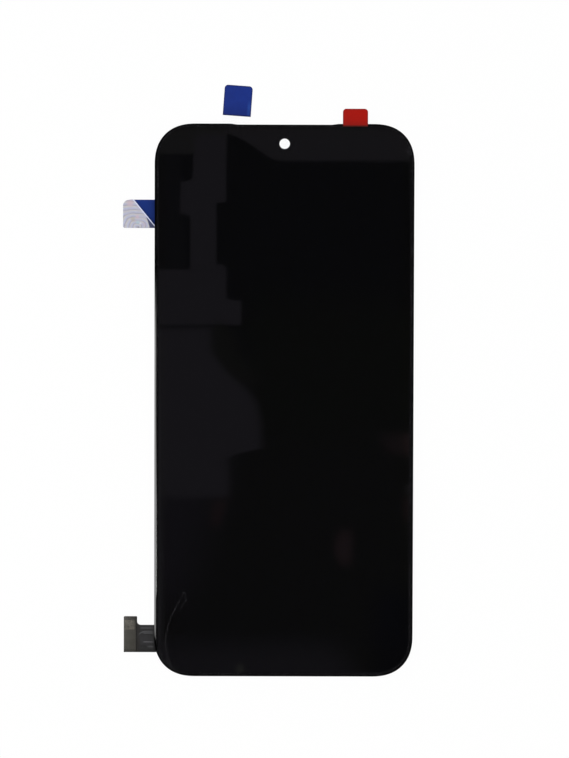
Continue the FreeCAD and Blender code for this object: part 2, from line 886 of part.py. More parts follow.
def flex_tape():
    """Double-sided tape that holds the flex's panel to the back of the tray."""
    half = flex_panel_width / 2 - flex_tape_margin
    low = panel_bottom + flex_tape_margin
    high = tail_top - flex_tape_margin
    return box(-half, half, low, high, flex_front, tray_back)


def component_row_y():
    return (panel_bottom + tail_top) / 2


def capacitors():
    """A row of small chip capacitors: each has a block and two slightly larger metal ends."""
    parts = []
    y = component_row_y()
    for number in range(capacitor_count):
        x = -flex_panel_width / 2 + capacitor_row_from_end + capacitor_pitch * number
        half_l = capacitor_length / 2
        half_w = capacitor_width / 2
        body = box(
            x - half_w + capacitor_cap_step,
            x + half_w - capacitor_cap_step,
            y - half_l,
            y + half_l,
            flex_back - capacitor_height + capacitor_cap_step,
            flex_back,
        )
        caps = [
            box(x - half_w, x + half_w, y - half_l, y - half_l + capacitor_cap_length,
                flex_back - capacitor_height, flex_back),
            box(x - half_w, x + half_w, y + half_l - capacitor_cap_length, y + half_l,
                flex_back - capacitor_height, flex_back),
        ]
        parts.append(body.fuse(caps).removeSplitter())
    return Part.makeCompound(parts)


def memory_chip():
    """A small memory chip with leads along its two short sides."""
    x = flex_panel_width / 2 - memory_chip_from_end
    y = component_row_y()
    half_l = memory_chip_length / 2
    half_w = memory_chip_width / 2
    body = box(
        x - half_l,
        x + half_l,
        y - half_w,
        y + half_w,
        flex_back - memory_chip_height,
        flex_back,
    )
    leads = []
    for number in range(memory_lead_count):
        place = y + memory_lead_pitch * (number - (memory_lead_count - 1) / 2)
        leads.append(box(
            x - half_l - memory_lead_length,
            x + half_l + memory_lead_length,
            place - memory_lead_width / 2,
            place + memory_lead_width / 2,
            flex_back - memory_lead_height,
            flex_back,
        ))
    return body.fuse(leads).removeSplitter()


def diodes():
    parts = []
    y = component_row_y()
    for number in range(diode_count):
        x = flex_panel_width / 2 - diode_row_from_end + diode_pitch * number
        parts.append(box(
            x - diode_width / 2,
            x + diode_width / 2,
            y - diode_length / 2,
            y + diode_length / 2,
            flex_back - diode_height,
            flex_back,
        ))
    return Part.makeCompound(parts)


def connector_middle():
    x = tail_tip + tail_end_length / 2
    y = tail_bottom + tail_end_width / 2
    return x, y


def connector_plug():
    """The board connector's moulded body: a tub with bevelled outer edges."""
    x, y = connector_middle()
    half_w = connector_width / 2
    half_l = connector_length / 2
    back = tail_back - connector_height
    body = box(x - half_w, x + half_w, y - half_l, y + half_l, back, tail_back)
    lowest = [edge for edge in body.Edges if edge.BoundBox.ZMax < back + connector_edge_chamfer / 2]
    body = body.makeChamfer(connector_edge_chamfer, lowest)
    pocket = box(
        x - half_w + connector_pocket_margin,
        x + half_w - connector_pocket_margin,
        y - half_l + connector_pocket_margin,
        y + half_l - connector_pocket_margin,
        back,
        back + connector_pocket_depth,
    )
    return body.cut(pocket)


def contact_outline(sign, x):
    """One contact's section in X and Z: a foot on the flex, a rise and a lip over the crest."""
    wall = x + sign * connector_width / 2
    skin = wall + sign * contact_metal
    toe = wall + sign * contact_foot
    lip = wall - sign * connector_pocket_margin
    crest = tail_back - connector_height
    points = [
        Vector(toe, 0, tail_back),
        Vector(toe, 0, tail_back - contact_metal),
        Vector(skin, 0, tail_back - contact_metal),
        Vector(skin, 0, crest - contact_metal),
        Vector(lip, 0, crest - contact_metal),
        Vector(lip, 0, crest),
        Vector(wall, 0, crest),
        Vector(wall, 0, tail_back),
    ]
    return points + points[:1]


def connector_contacts():
    """Formed contacts in a row along both long sides of the connector, each wrapped over the wall."""
    x, y = connector_middle()
    contacts = []
    for number in range(contact_count):
        place = y + contact_pitch * (number - (contact_count - 1) / 2)
        for sign in (1, -1):
            face = Part.Face(Part.makePolygon(contact_outline(sign, x)))
            face.translate(Vector(0, place - contact_width / 2, 0))
            contacts.append(face.extrude(Vector(0, contact_width, 0)))
    return Part.makeCompound(contacts)


def connector_hold_downs():
    """A solder plate at each end of the connector."""
    x, y = connector_middle()
    parts = []
    for sign in (1, -1):
        inner = y + sign * connector_length / 2
        outer = inner + sign * hold_down_length
        half = connector_width / 2 - connector_edge_chamfer
        back = tail_back - connector_height / 2
        parts.append(box(x - half, x + half, min(inner, outer), max(inner, outer), back, tail_back))
    return Part.makeCompound(parts)


def connector_stiffener():
    """The stiffening plate on the tail's front face, opposite the connector."""
    left = tail_tip + stiffener_margin
    right = tail_tip + tail_end_length - stiffener_inner_margin
    low = tail_bottom + stiffener_margin
    high = tail_bottom + tail_end_width - stiffener_margin
    wire = rounded_wire(left, right, low, high, tail_end_corner_radius - stiffener_margin)
    return extrude(wire, tail_front, tail_front + stiffener_thickness)


def connector_pad():
    """The small textured pad stuck on the stiffener's upper end."""
    left = tail_tip + pad_from_tip
    high = tail_bottom + tail_end_width - pad_from_end
    bottom = tail_front + stiffener_thickness
    return box(left, left + pad_width, high - pad_length, high, bottom, bottom + pad_thickness)


def front_film():
    """The clear film on the screen, with a tongue at its top edge for the red tab."""
    side = glass_width / 2 - front_film_margin
    top = glass_height / 2 - front_film_margin
    wire = rounded_wire(-side, side, -top, top, front_film_corner_radius, front_film_corner_radius)
    sheet = extrude(wire, glass_front, film_front)
    half = red_tab_width / 2
    end = glass_height / 2 + red_tab_beyond_edge
    tongue_wire = rounded_wire(
        red_tab_offset - half,
        red_tab_offset + half,
        top - red_tab_length,
        end,
        red_tab_radius,
    )
    tongue = extrude(tongue_wire, glass_front, film_front)
    film = sheet.fuse(tongue).removeSplitter()
    film.rotate(Vector(0, 0, 0), Vector(0, 0, 1), front_film_turn)
    return film


def red_pull_tab():
    half = red_tab_width / 2
    end = glass_height / 2 + red_tab_beyond_edge
    wire = rounded_wire(
        red_tab_offset - half,
        red_tab_offset + half,
        end - red_tab_length,
        end,
        red_tab_radius,
    )
    tab = extrude(wire, film_front, film_front + tab_thickness)
    tab.rotate(Vector(0, 0, 0), Vector(0, 0, 1), front_film_turn)
    return tab


def top_tab_base():
    return Vector(top_tab_offset, glass_height / 2 + top_tab_beyond_edge - top_tab_length / 2, 0)


def turned_strip(length, bottom, top):
    """A strip on the top tab's turned centre line, from the tab's outer end down by a length."""
    center = top_tab_base()
    half = top_tab_width / 2
    end = center.y + top_tab_length / 2
    wire = rounded_wire(center.x - half, center.x + half, end - length, end, top_tab_radius)
    strip = extrude(wire, bottom, top)
    strip.rotate(center, Vector(0, 0, 1), top_tab_turn)
    return strip


def side_tongue_end():
    return -glass_width / 2 - side_tab_reach + 2 * tab_thickness + side_tab_fold_gap


def rear_film():
    """The clear film on the back of the tray, with tongues for the top and side pull tabs."""
    low = tail_top + rear_film_to_flex
    side = tray_side - rear_film_margin
    top = tray_top - rear_film_margin
    radius = tray_top_radius - rear_film_margin
    sheet = extrude(rounded_wire(-side, side, low, top, radius), 0, tray_back)
    reach = glass_height / 2 + top_tab_beyond_edge - top + top_tongue_overlap
    tongue = turned_strip(reach, 0, tray_back)
    side_tongue = box(
        side_tongue_end(),
        -side + cut_margin,
        side_tab_top - side_tab_width,
        side_tab_top,
        0,
        tray_back,
    )
    film = sheet.fuse([tongue, side_tongue])
    return film.cut(camera_cutter(camera_bore_radius)).removeSplitter()


def top_pull_tab():
    return turned_strip(top_tab_length, tray_back, tray_back + tab_thickness)


def side_pull_tab():
    """A blue strip folded back over itself; the flap's free edge runs aslant and stands up a little."""
    outer = -glass_width / 2 - side_tab_reach
    start = -tray_side - side_tab_start
    low = tray_back
    high = tray_back + tab_thickness
    inner_radius = side_tab_fold_gap / 2
    outer_radius = inner_radius + tab_thickness
    turn_x = outer + outer_radius
    turn_z = high + inner_radius
    lift = math.radians(side_tab_flap_lift)

    def at(x, z):
        return Vector(x, 0, z)

    def around(radius, degrees):
        angle = math.radians(degrees)
        return at(turn_x + radius * math.cos(angle), turn_z + radius * math.sin(angle))

    leave = 90 + side_tab_flap_lift
    middle = (leave + 270) / 2
    along = Vector(side_tab_flap_long * math.cos(lift), 0, side_tab_flap_long * math.sin(lift))
    outer_leave = around(outer_radius, leave)
    inner_leave = around(inner_radius, leave)
    outline = Part.Wire([
        line(at(start, low), at(turn_x, low)),
        Part.Arc(around(outer_radius, 270), around(outer_radius, middle), outer_leave).toShape(),
        line(outer_leave, outer_leave + along),
        line(outer_leave + along, inner_leave + along),
        line(inner_leave + along, inner_leave),
        Part.Arc(inner_leave, around(inner_radius, middle), around(inner_radius, 270)).toShape(),
        line(at(turn_x, high), at(start, high)),
        line(at(start, high), at(start, low)),
    ])
    face = Part.Face(outline)
    face.translate(Vector(0, side_tab_top - side_tab_width, 0))
    strip = face.extrude(Vector(0, side_tab_width, 0))
    flap_top = turn_z + outer_radius + along.z + cut_margin
    slant = extrude(side_tab_slant(outer), turn_z, flap_top)
    corners = rounded_wire(
        outer,
        outer + 2 * side_tab_flap_long,
        side_tab_top - side_tab_width,
        side_tab_top,
        side_tab_radius,
        side_tab_lower_radius,
    )
    return strip.cut(slant).common(extrude(corners, -cut_margin, flap_top)).removeSplitter()


def side_tab_slant(outer):
    """The outline of the cutter that leaves the flap's free edge slanting from top to bottom."""
    first = Vector(outer + side_tab_flap_short, side_tab_top, 0)
    last = Vector(outer + side_tab_flap_long, side_tab_top - side_tab_width, 0)
    overrun = (last - first) * (cut_margin / side_tab_width)
    away = Vector(side_tab_flap_long, 0, 0)
    first = first - overrun
    last = last + overrun
    return Part.makePolygon([first, last, last + away, first + away, first])


def build():
    """Every piece by its node name, from the front of the screen to the back."""
    return {
        "red_pull_tab": red_pull_tab(),
        "front_protective_film": front_film(),
        "cover_glass": cover_glass(),
        "border_print": border_print(),
        "optical_adhesive": optical_adhesive(),
        "front_polariser": front_polariser(),
        "colour_filter_glass": colour_filter_glass(),
        "array_glass": array_glass(),
        "driver_chip": driver_chip(),
        "driver_tape": driver_tape(),
        "rear_polariser": rear_polariser(),
        "rim_tape": rim_tape(),
        "camera_seal": camera_seal(),
        "prism_film_upper": prism_film_upper(),
        "prism_film_lower": prism_film_lower(),
        "diffuser_film": diffuser_film(),
        "light_guide": light_guide(),
        "reflector_film": reflector_film(),
        "backlight_frame": backlight_frame(),
        "backlight_tray": backlight_tray(),
        "backlight_leds": backlight_leds(),
        "led_flex": led_flex(),
        "main_flex": main_flex(),
        "flex_tape": flex_tape(),
        "capacitors": capacitors(),
        "memory_chip": memory_chip(),
        "diodes": diodes(),
        "connector_plug": connector_plug(),
        "connector_contacts": connector_contacts(),
        "connector_hold_downs": connector_hold_downs(),
        "connector_stiffener": connector_stiffener(),
        "connector_pad": connector_pad(),
        "rear_protective_film": rear_film(),
        "top_pull_tab": top_pull_tab(),
        "side_pull_tab": side_pull_tab(),
    }


os.makedirs("parts", exist_ok=True)
for name, shape in build().items():
    shape.exportStep("parts/" + name + ".step")
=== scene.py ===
import logging
import math
from dataclasses import dataclass
from enum import Enum
from typing import Callable, Iterable

import bmesh
import bpy
from mathutils import Matrix, Vector


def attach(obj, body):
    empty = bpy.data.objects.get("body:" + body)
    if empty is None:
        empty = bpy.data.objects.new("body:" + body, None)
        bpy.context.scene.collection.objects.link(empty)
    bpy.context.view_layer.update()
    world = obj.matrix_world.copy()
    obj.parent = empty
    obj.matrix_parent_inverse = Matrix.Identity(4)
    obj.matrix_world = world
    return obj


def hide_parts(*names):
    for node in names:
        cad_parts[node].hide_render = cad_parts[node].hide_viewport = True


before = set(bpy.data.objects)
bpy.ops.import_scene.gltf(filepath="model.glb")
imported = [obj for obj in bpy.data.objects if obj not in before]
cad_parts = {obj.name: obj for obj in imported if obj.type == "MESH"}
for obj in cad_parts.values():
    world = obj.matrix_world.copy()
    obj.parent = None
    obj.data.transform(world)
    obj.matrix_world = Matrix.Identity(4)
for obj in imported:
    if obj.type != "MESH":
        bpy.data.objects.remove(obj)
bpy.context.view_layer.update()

LOG = logging.getLogger("screen_assembly")
MM = 0.001
Colour = tuple[float, float, float]
Point = tuple[float, float, float]
Triple = tuple[float, float, float]
Pair = tuple[float, float]
Socket = bpy.types.NodeSocket
Test = Callable[[Vector, Vector], bool]


class Kind(Enum):
    """What an edit-mode selection picks."""

    VERTEX = "VERT"
    EDGE = "EDGE"
    FACE = "FACE"


class Side(Enum):
    """The two sides of the object, as the sign of X."""

    LEFT = -1
    RIGHT = 1


def grey(level: float) -> Colour:
    """A neutral colour at a linear level."""
    return (level, level, level)


def scaled(colour: Colour, by: float) -> Colour:
    """A colour made darker or lighter."""
    return tuple(by * level for level in colour)


def mm(*values: float) -> Vector:
    """A point in metres from millimetres."""
    return Vector(values) * MM


class Modeller:
    """Models one mesh piece with edit-mode operators, in millimetres, and leaves its object at the origin."""

    def __init__(self, name: str, centre: Point, size: Pair) -> None:
        """Start from a rectangle.

        Args:
            name: The piece's name.
            centre: The rectangle's middle in millimetres.
            size: Its width along X and length along Y in millimetres.
        """
        if bpy.context.mode != "OBJECT":
            bpy.ops.object.mode_set(mode="OBJECT")
        bpy.ops.object.select_all(action="DESELECT")
        bpy.ops.mesh.primitive_plane_add(size=1.0, location=mm(*centre))
        self.piece = bpy.context.object
        self.piece.name = self.piece.data.name = name
        bpy.ops.transform.resize(value=(size[0] * MM, size[1] * MM, 1.0), center_override=mm(*centre))
        bpy.ops.object.transform_apply(location=True, rotation=True, scale=True)
        bpy.ops.object.mode_set(mode="EDIT")
        self.everything()

    def pick(self, kind: Kind, test: Test) -> int:
        """Select only the elements that pass a test.

        Args:
            kind: Vertices, edges or faces.
            test: Takes the element's middle in millimetres and its normal, or an edge's direction.

        Returns:
            How many elements are selected.
        """
        bpy.ops.mesh.select_mode(type=kind.value)
        bpy.ops.mesh.select_all(action="DESELECT")
        shape = bmesh.from_edit_mesh(self.piece.data)
        chosen = 0
        if kind is Kind.VERTEX:
            for vertex in shape.verts:
                vertex.select_set(test(vertex.co / MM, vertex.normal))
                chosen += vertex.select
        elif kind is Kind.EDGE:
            for edge in shape.edges:
                a, b = (vertex.co for vertex in edge.verts)
                edge.select_set(test((a + b) / 2 / MM, (b - a).normalized()))
                chosen += edge.select
        else:
            for face in shape.faces:
                face.select_set(test(face.calc_center_median() / MM, face.normal))
                chosen += face.select
        shape.select_flush_mode()
        bmesh.update_edit_mesh(self.piece.data)
        return chosen

    def everything(self) -> None:
        """Select the whole mesh."""
        bpy.ops.mesh.select_all(action="SELECT")

    def cut(self, point: Point, normal: Triple, drop: bool = False) -> None:
        """Cut the selected faces along a plane, and drop what lies past it if asked."""
        bpy.ops.mesh.bisect(plane_co=mm(*point), plane_no=normal, clear_outer=drop, threshold=1e-7)

    def move(self, x: float = 0.0, y: float = 0.0, z: float = 0.0) -> None:
        """Move the selection by millimetres."""
        bpy.ops.transform.translate(value=mm(x, y, z))

    def draw_out(self, x: float, y: float, z: float) -> None:
        """Extrude the selected edges or faces by a run in millimetres."""
        bpy.ops.mesh.extrude_region_move(TRANSFORM_OT_translate={"value": mm(x, y, z)})

    def inset(self, width: float, depth: float = 0.0) -> None:
        """Inset the selected faces by a width, with a depth along their normals, in millimetres."""
        bpy.ops.mesh.inset(thickness=width * MM, depth=depth * MM, use_even_offset=True)

    def round_corners(self, radius: float, segments: int, profile: float = 0.5) -> None:
        """Round the selected plan corners."""
        bpy.ops.mesh.bevel(
            offset_type="OFFSET", offset=radius * MM, segments=segments, profile=profile, affect="VERTICES")

    def soften_edges(self, level: float, width: float) -> None:
        """Bevel by a width the edges that lie at a level, in millimetres."""
        self.pick(Kind.EDGE, lambda at, way: abs(way.z) < 0.5 and at.z > level - 0.005)
        bpy.ops.mesh.bevel(offset_type="OFFSET", offset=width * MM, segments=2, profile=0.5, affect="EDGES")

    def thicken(self, height: float) -> None:
        """Raise the flat outline into a closed solid with its normals outward.

        Args:
            height: The solid's thickness in millimetres.
        """
        self.everything()
        self.draw_out(0, 0, height)
        self.everything()
        bpy.ops.mesh.normals_make_consistent(inside=False)

    def turn(self, degrees: float, about: Pair) -> None:
        """Turn the whole piece about a vertical axis, anticlockwise seen from above."""
        self.everything()
        bpy.ops.transform.rotate(value=-math.radians(degrees), orient_axis="Z", center_override=mm(*about, 0))

    def modifier(self, kind: str, **settings: object) -> None:
        """Add a modifier and apply it.

        Args:
            kind: The modifier's type.
            settings: Its properties by name.
        """
        bpy.ops.object.mode_set(mode="OBJECT")
        added = self.piece.modifiers.new(kind.title(), kind)
        for key, value in settings.items():
            setattr(added, key, value)
        bpy.ops.object.modifier_apply(modifier=added.name)
        bpy.ops.object.mode_set(mode="EDIT")
        self.everything()

    def finish(
        self, finishes: Iterable[bpy.types.Material], slot: str, replaced: str, smooth: float = 30.0
    ) -> bpy.types.Object:
        """Close the piece, dress it and put it on the body.

        Args:
            finishes: Its materials, in slot order.
            slot: The record's material slot; not used.
            replaced: The CAD node that it stands for.
            smooth: The angle in degrees up to which edges are shaded smooth.

        Returns:
            The finished object.
        """
        if bpy.context.mode != "OBJECT":
            bpy.ops.object.mode_set(mode="OBJECT")
        bpy.ops.object.shade_smooth_by_angle(angle=math.radians(smooth))
        for material in finishes:
            self.piece.data.materials.append(material)
        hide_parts(replaced)
        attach(self.piece, "root")
        return self.piece


class Recipe:
    """Builds one node material on Object coordinates, with places and sizes in millimetres."""

    def __init__(self, name: str) -> None:
        """Start a material with its shader and coordinates.

        Args:
            name: The material's name.
        """
        self.material = bpy.data.materials.new(name)
        self.material.use_nodes = True
        self.tree = self.material.node_tree
        self.shader = self.tree.nodes["Principled BSDF"]
        self.place = self.add("ShaderNodeTexCoord").outputs["Object"]

    def add(self, kind: str, **settings: object) -> bpy.types.Node:
        """Add a node.

        Args:
            kind: The node's type.
            settings: Its properties by name.

        Returns:
            The new node.
        """
        node = self.tree.nodes.new(kind)
        for key, value in settings.items():
            setattr(node, key, value)
        return node

    def join(self, source: object, target: Socket) -> None:
        """Link a socket to a target, or write a plain value on it.

        Args:
            source: The socket or the value.
            target: The socket that takes it.
        """
        if isinstance(source, Socket):
            self.tree.links.new(source, target)
        else:
            target.default_value = source

    def centred(
        self, x: float = 0.0, y: float = 0.0, z: float = 0.0, stretch: Triple = (1, 1, 1), turn: float = 0.0
    ) -> Socket:
        """Take Object coordinates about a point, turned and then stretched.

        Args:
            x: The point along X.
            y: The point along Y.
            z: The point along Z.
            stretch: A factor for each axis.
            turn: An angle about Z in degrees.

        Returns:
            The coordinates in millimetres.
        """
        moved = self.add("ShaderNodeMapping", vector_type="POINT")
        self.join(self.place, moved.inputs["Vector"])
        moved.inputs["Location"].default_value = (-x, -y, -z)
        moved.inputs["Scale"].default_value = (1000, 1000, 1000)
        placed = self.add("ShaderNodeMapping", vector_type="POINT")
        self.join(moved.outputs[0], placed.inputs["Vector"])
        placed.inputs["Rotation"].default_value = (0, 0, math.radians(turn))
        placed.inputs["Scale"].default_value = stretch
        return placed.outputs[0]

    def noise(
        self, scale: float, where: Socket, detail: float = 3.0, roughness: float = 0.55, warp: float = 0.0
    ) -> Socket:
        """Add a noise.

        Args:
            scale: How many features it has to the millimetre.
            where: The coordinates.
            detail: How many finer layers it has.
            roughness: How strong the finer layers are.
            warp: How much it is distorted.

        Returns:
            The noise, mostly from 0.3 to 0.7.
        """
        node = self.add("ShaderNodeTexNoise")
        self.join(where, node.inputs["Vector"])
        node.inputs["Scale"].default_value = scale
        node.inputs["Detail"].default_value = detail
        node.inputs["Roughness"].default_value = roughness
        node.inputs["Distortion"].default_value = warp
        return node.outputs["Fac"]

    def axis(self, where: Socket, name: str) -> Socket:
        """Take one component of a vector.

        Args:
            where: The vector.
            name: X, Y or Z.

        Returns:
            The component.
        """
        node = self.add("ShaderNodeSeparateXYZ")
        self.join(where, node.inputs[0])
        return node.outputs[name]

    def length(self, where: Socket) -> Socket:
        """Take a vector's length.

        Args:
            where: The vector.

        Returns:
            The length.
        """
        node = self.add("ShaderNodeVectorMath", operation="LENGTH")
        self.join(where, node.inputs[0])
        return node.outputs["Value"]

    def maths(self, operation: str, a: object, b: object = 0.0) -> Socket:
        """Reckon with two numbers.

        Args:
            operation: The maths node's operation.
            a: The first number or socket.
            b: The second one.

        Returns:
            The result.
        """
        node = self.add("ShaderNodeMath", operation=operation)
        self.join(a, node.inputs[0])
        self.join(b, node.inputs[1])
        return node.outputs[0]

    def span(self, value: object, low: float, high: float, to_low: float = 0.0, to_high: float = 1.0) -> Socket:
        """Step smoothly from one level to another.

        Args:
            value: What goes up or down.
            low: The value at the step's start.
            high: The value at its end.
            to_low: The level before the step.
            to_high: The level after it.

        Returns:
            The level.
        """
        node = self.add("ShaderNodeMapRange", interpolation_type="SMOOTHSTEP")
        self.join(value, node.inputs["Value"])
        for key, number in zip(("From Min", "From Max", "To Min", "To Max"), (low, high, to_low, to_high)):
            node.inputs[key].default_value = number
        return node.outputs[0]

    def swing(self, noise: Socket, low: float = 0.0, high: float = 1.0, reach: float = 0.2) -> Socket:
        """Go from one level to another over a noise's middle range."""
        return self.span(noise, 0.5 - reach, 0.5 + reach, low, high)

    def ramp(self, factor: object, stops: Iterable[tuple[float, Colour]]) -> Socket:
        """Add a colour ramp.

        Args:
            factor: Where to read it, from 0 to 1.
            stops: Its places and colours.

        Returns:
            The colour.
        """
        node = self.add("ShaderNodeValToRGB")
        stops = list(stops)
        while len(node.color_ramp.elements) < len(stops):
            node.color_ramp.elements.new(0.5)
        for element, (place, colour) in zip(node.color_ramp.elements, stops):
            element.position = place
            element.color = (*colour, 1.0)
        self.join(factor, node.inputs["Fac"])
        return node.outputs["Color"]

    def mix(self, factor: object, a: object, b: object) -> Socket:
        """Mix two colours.

        Args:
            factor: The second colour's share.
            a: The first colour or socket.
            b: The second one.

        Returns:
            The mixed colour.
        """
        node = self.add("ShaderNodeMix", data_type="RGBA")
        self.join(factor, node.inputs[0])
        self.join((*a, 1.0) if isinstance(a, tuple) else a, node.inputs[6])
        self.join((*b, 1.0) if isinstance(b, tuple) else b, node.inputs[7])
        return node.outputs[2]

    def blend(self, share: object, first: Socket, second: Socket) -> Socket:
        """Mix two shaders.

        Args:
            share: The second shader's share.
            first: The first shader.
            second: The second one.

        Returns:
            The mixed shader.
        """
        node = self.add("ShaderNodeMixShader")
        for source, target in zip((share, first, second), node.inputs):
            self.join(source, target)
        return node.outputs[0]

    def bump(self, height: Socket, distance: float, strength: float = 1.0) -> None:
        """Give the surface relief.

        Args:
            height: The relief's height, from 0 to 1.
            distance: The height of 1, in millimetres.
            strength: How much of the relief is used.
        """
        node = self.add("ShaderNodeBump")
        node.inputs["Strength"].default_value = strength
        node.inputs["Distance"].default_value = distance * MM
        self.join(height, node.inputs["Height"])
        self.join(node.outputs[0], self.shader.inputs["Normal"])

    def surface(self, shader: Socket) -> None:
        """Use a shader as the material's surface."""
        out = next(node for node in self.tree.nodes if node.type == "OUTPUT_MATERIAL")
        self.join(shader, out.inputs["Surface"])

    def set(self, **values: object) -> None:
        """Write or link the shader's sockets.

        Args:
            values: Values or sockets by the sockets' names, with underscores for spaces.
        """
        for key, value in values.items():
            socket = self.shader.inputs[key.replace("_", " ")]
            if isinstance(value, tuple):
                value = (*value, 1.0)
            self.join(value, socket)


@dataclass(frozen=True)
class Finish:
    """A material; each kind of finish lays out its own nodes."""

    name: str

    def build(self) -> bpy.types.Material:
        """Build the material.

        Returns:
            The new material.
        """
        recipe = Recipe(self.name)
        self.lay(recipe)
        return recipe.material

    def lay(self, recipe: Recipe) -> None:
        """Lay out the nodes; each kind of finish has its own way."""
        raise NotImplementedError(type(self).__name__)


@dataclass(frozen=True)
class MouldedFinish(Finish):
    """An opaque moulded, inked, taped or ceramic surface with a fine grain."""

    base: Colour
    deep: Colour
    grain: float = 6.0
    roughness: Pair = (0.42, 0.58)
    relief: float = 0.004
    specular: float = 0.5

    def lay(self, recipe: Recipe) -> None:
        """Lay out slow clouds of colour and a fine grain.

        Args:
            recipe: The material in the making.
        """
        where = recipe.centred()
        cloud = recipe.noise(0.35, where, 2.0)
        fine = recipe.noise(self.grain, where, 4.0)
        blend = recipe.maths("MULTIPLY_ADD", cloud, 0.6)
        recipe.set(
            Base_Color=recipe.mix(recipe.span(blend, 0.1, 0.5), self.deep, self.base),
            Roughness=recipe.swing(fine, *self.roughness),
            Specular_IOR_Level=self.specular,
        )
        recipe.bump(fine, self.relief)


@dataclass(frozen=True)
class MetalFinish(Finish):
    """Rolled or plated metal with fine lines along one direction."""

    base: Colour
    deep: Colour
    stretch: Triple = (12.0, 0.4, 12.0)
    roughness: Pair = (0.22, 0.38)
    relief: float = 0.0008

    def lay(self, recipe: Recipe) -> None:
        """Lay out the rolling lines and slow clouds.

        Args:
            recipe: The material in the making.
        """
        lines = recipe.noise(1.0, recipe.centred(stretch=self.stretch), 4.0, 0.6)
        cloud = recipe.noise(0.12, recipe.centred(), 2.0)
        recipe.set(
            Base_Color=recipe.mix(recipe.swing(cloud, reach=0.15), self.deep, self.base),
            Metallic=1.0,
            Roughness=recipe.swing(lines, *self.roughness),
        )
        recipe.bump(lines, self.relief)


@dataclass(frozen=True)
class ClearFinish(Finish):
    """A clear solid, such as adhesive, display glass or a moulded light guide."""

    tint: Colour
    index: float = 1.5
    roughness: Pair = (0.02, 0.08)
    grain: float = 3.0
    stretch: Triple = (1.0, 1.0, 1.0)
    relief: float = 0.0005

    def lay(self, recipe: Recipe) -> None:
        """Lay out the clear body with its surface pattern.

        Args:
            recipe: The material in the making.
        """
        pattern = recipe.noise(self.grain, recipe.centred(stretch=self.stretch), 3.0)
        recipe.set(
            Base_Color=self.tint,
            Roughness=recipe.swing(pattern, *self.roughness, reach=0.15),
            IOR=self.index,
            Transmission_Weight=1.0,
        )
        recipe.bump(pattern, self.relief)


@dataclass(frozen=True)
class InkedGlassFinish(Finish):
    """Polished glass bonded over black ink and a dark display, and clear in the camera window."""

    ink: Colour
    display: Colour
    view_half: Pair
    view_middle: float
    window: Pair
    window_radius: float
    window_tint: Colour = (0.996, 0.998, 0.997)

    def lay(self, recipe: Recipe) -> None:
        """Lay out the ink, the display's area and the clear window.

        Args:
            recipe: The material in the making.
        """
        where = recipe.centred()
        x = recipe.maths("ABSOLUTE", recipe.axis(where, "X"))
        y = recipe.maths("ABSOLUTE", recipe.maths("SUBTRACT", recipe.axis(where, "Y"), self.view_middle))
        across, along = (recipe.maths("LESS_THAN", *side) for side in zip((x, y), self.view_half))
        polish = recipe.noise(0.08, where, 3.0)
        recipe.set(
            Base_Color=recipe.mix(recipe.maths("MULTIPLY", across, along), self.ink, self.display),
            Roughness=recipe.swing(polish, 0.0, 0.02),
            IOR=1.5,
        )
        recipe.bump(polish, 0.0002, 0.2)
        away = recipe.length(recipe.centred(*self.window, stretch=(1.0, 1.0, 0.0)))
        clear = recipe.add("ShaderNodeBsdfTransparent")
        clear.inputs["Color"].default_value = (*self.window_tint, 1.0)
        inside = recipe.maths("LESS_THAN", away, self.window_radius)
        recipe.surface(recipe.blend(inside, recipe.shader.outputs[0], clear.outputs[0]))


@dataclass(frozen=True)
class Crease:
    """A faint straight crease or scratch in a film, in millimetres."""

    start: Pair
    end: Pair
    width: float
    strength: float

    def mask(self, recipe: Recipe) -> Socket:
        """Say how strongly the crease shows at a place.

        Args:
            recipe: The film's material in the making.

        Returns:
            The crease's share of white, from 0 to its strength.
        """
        along = Vector(self.end) - Vector(self.start)
        where = recipe.centred(*self.start, turn=-math.degrees(math.atan2(along.y, along.x)))
        run = recipe.axis(where, "X")
        beyond = recipe.maths("SUBTRACT", run, along.length)
        past = recipe.maths("MAXIMUM", recipe.maths("MAXIMUM", beyond, recipe.maths("MULTIPLY", run, -1.0)), 0.0)
        off = recipe.maths("ABSOLUTE", recipe.axis(where, "Y"))
        squares = (recipe.maths("POWER", side, 2.0) for side in (past, off))
        away = recipe.maths("SQRT", recipe.maths("ADD", *squares))
        return recipe.span(away, 0.2 * self.width, self.width, self.strength, 0.0)


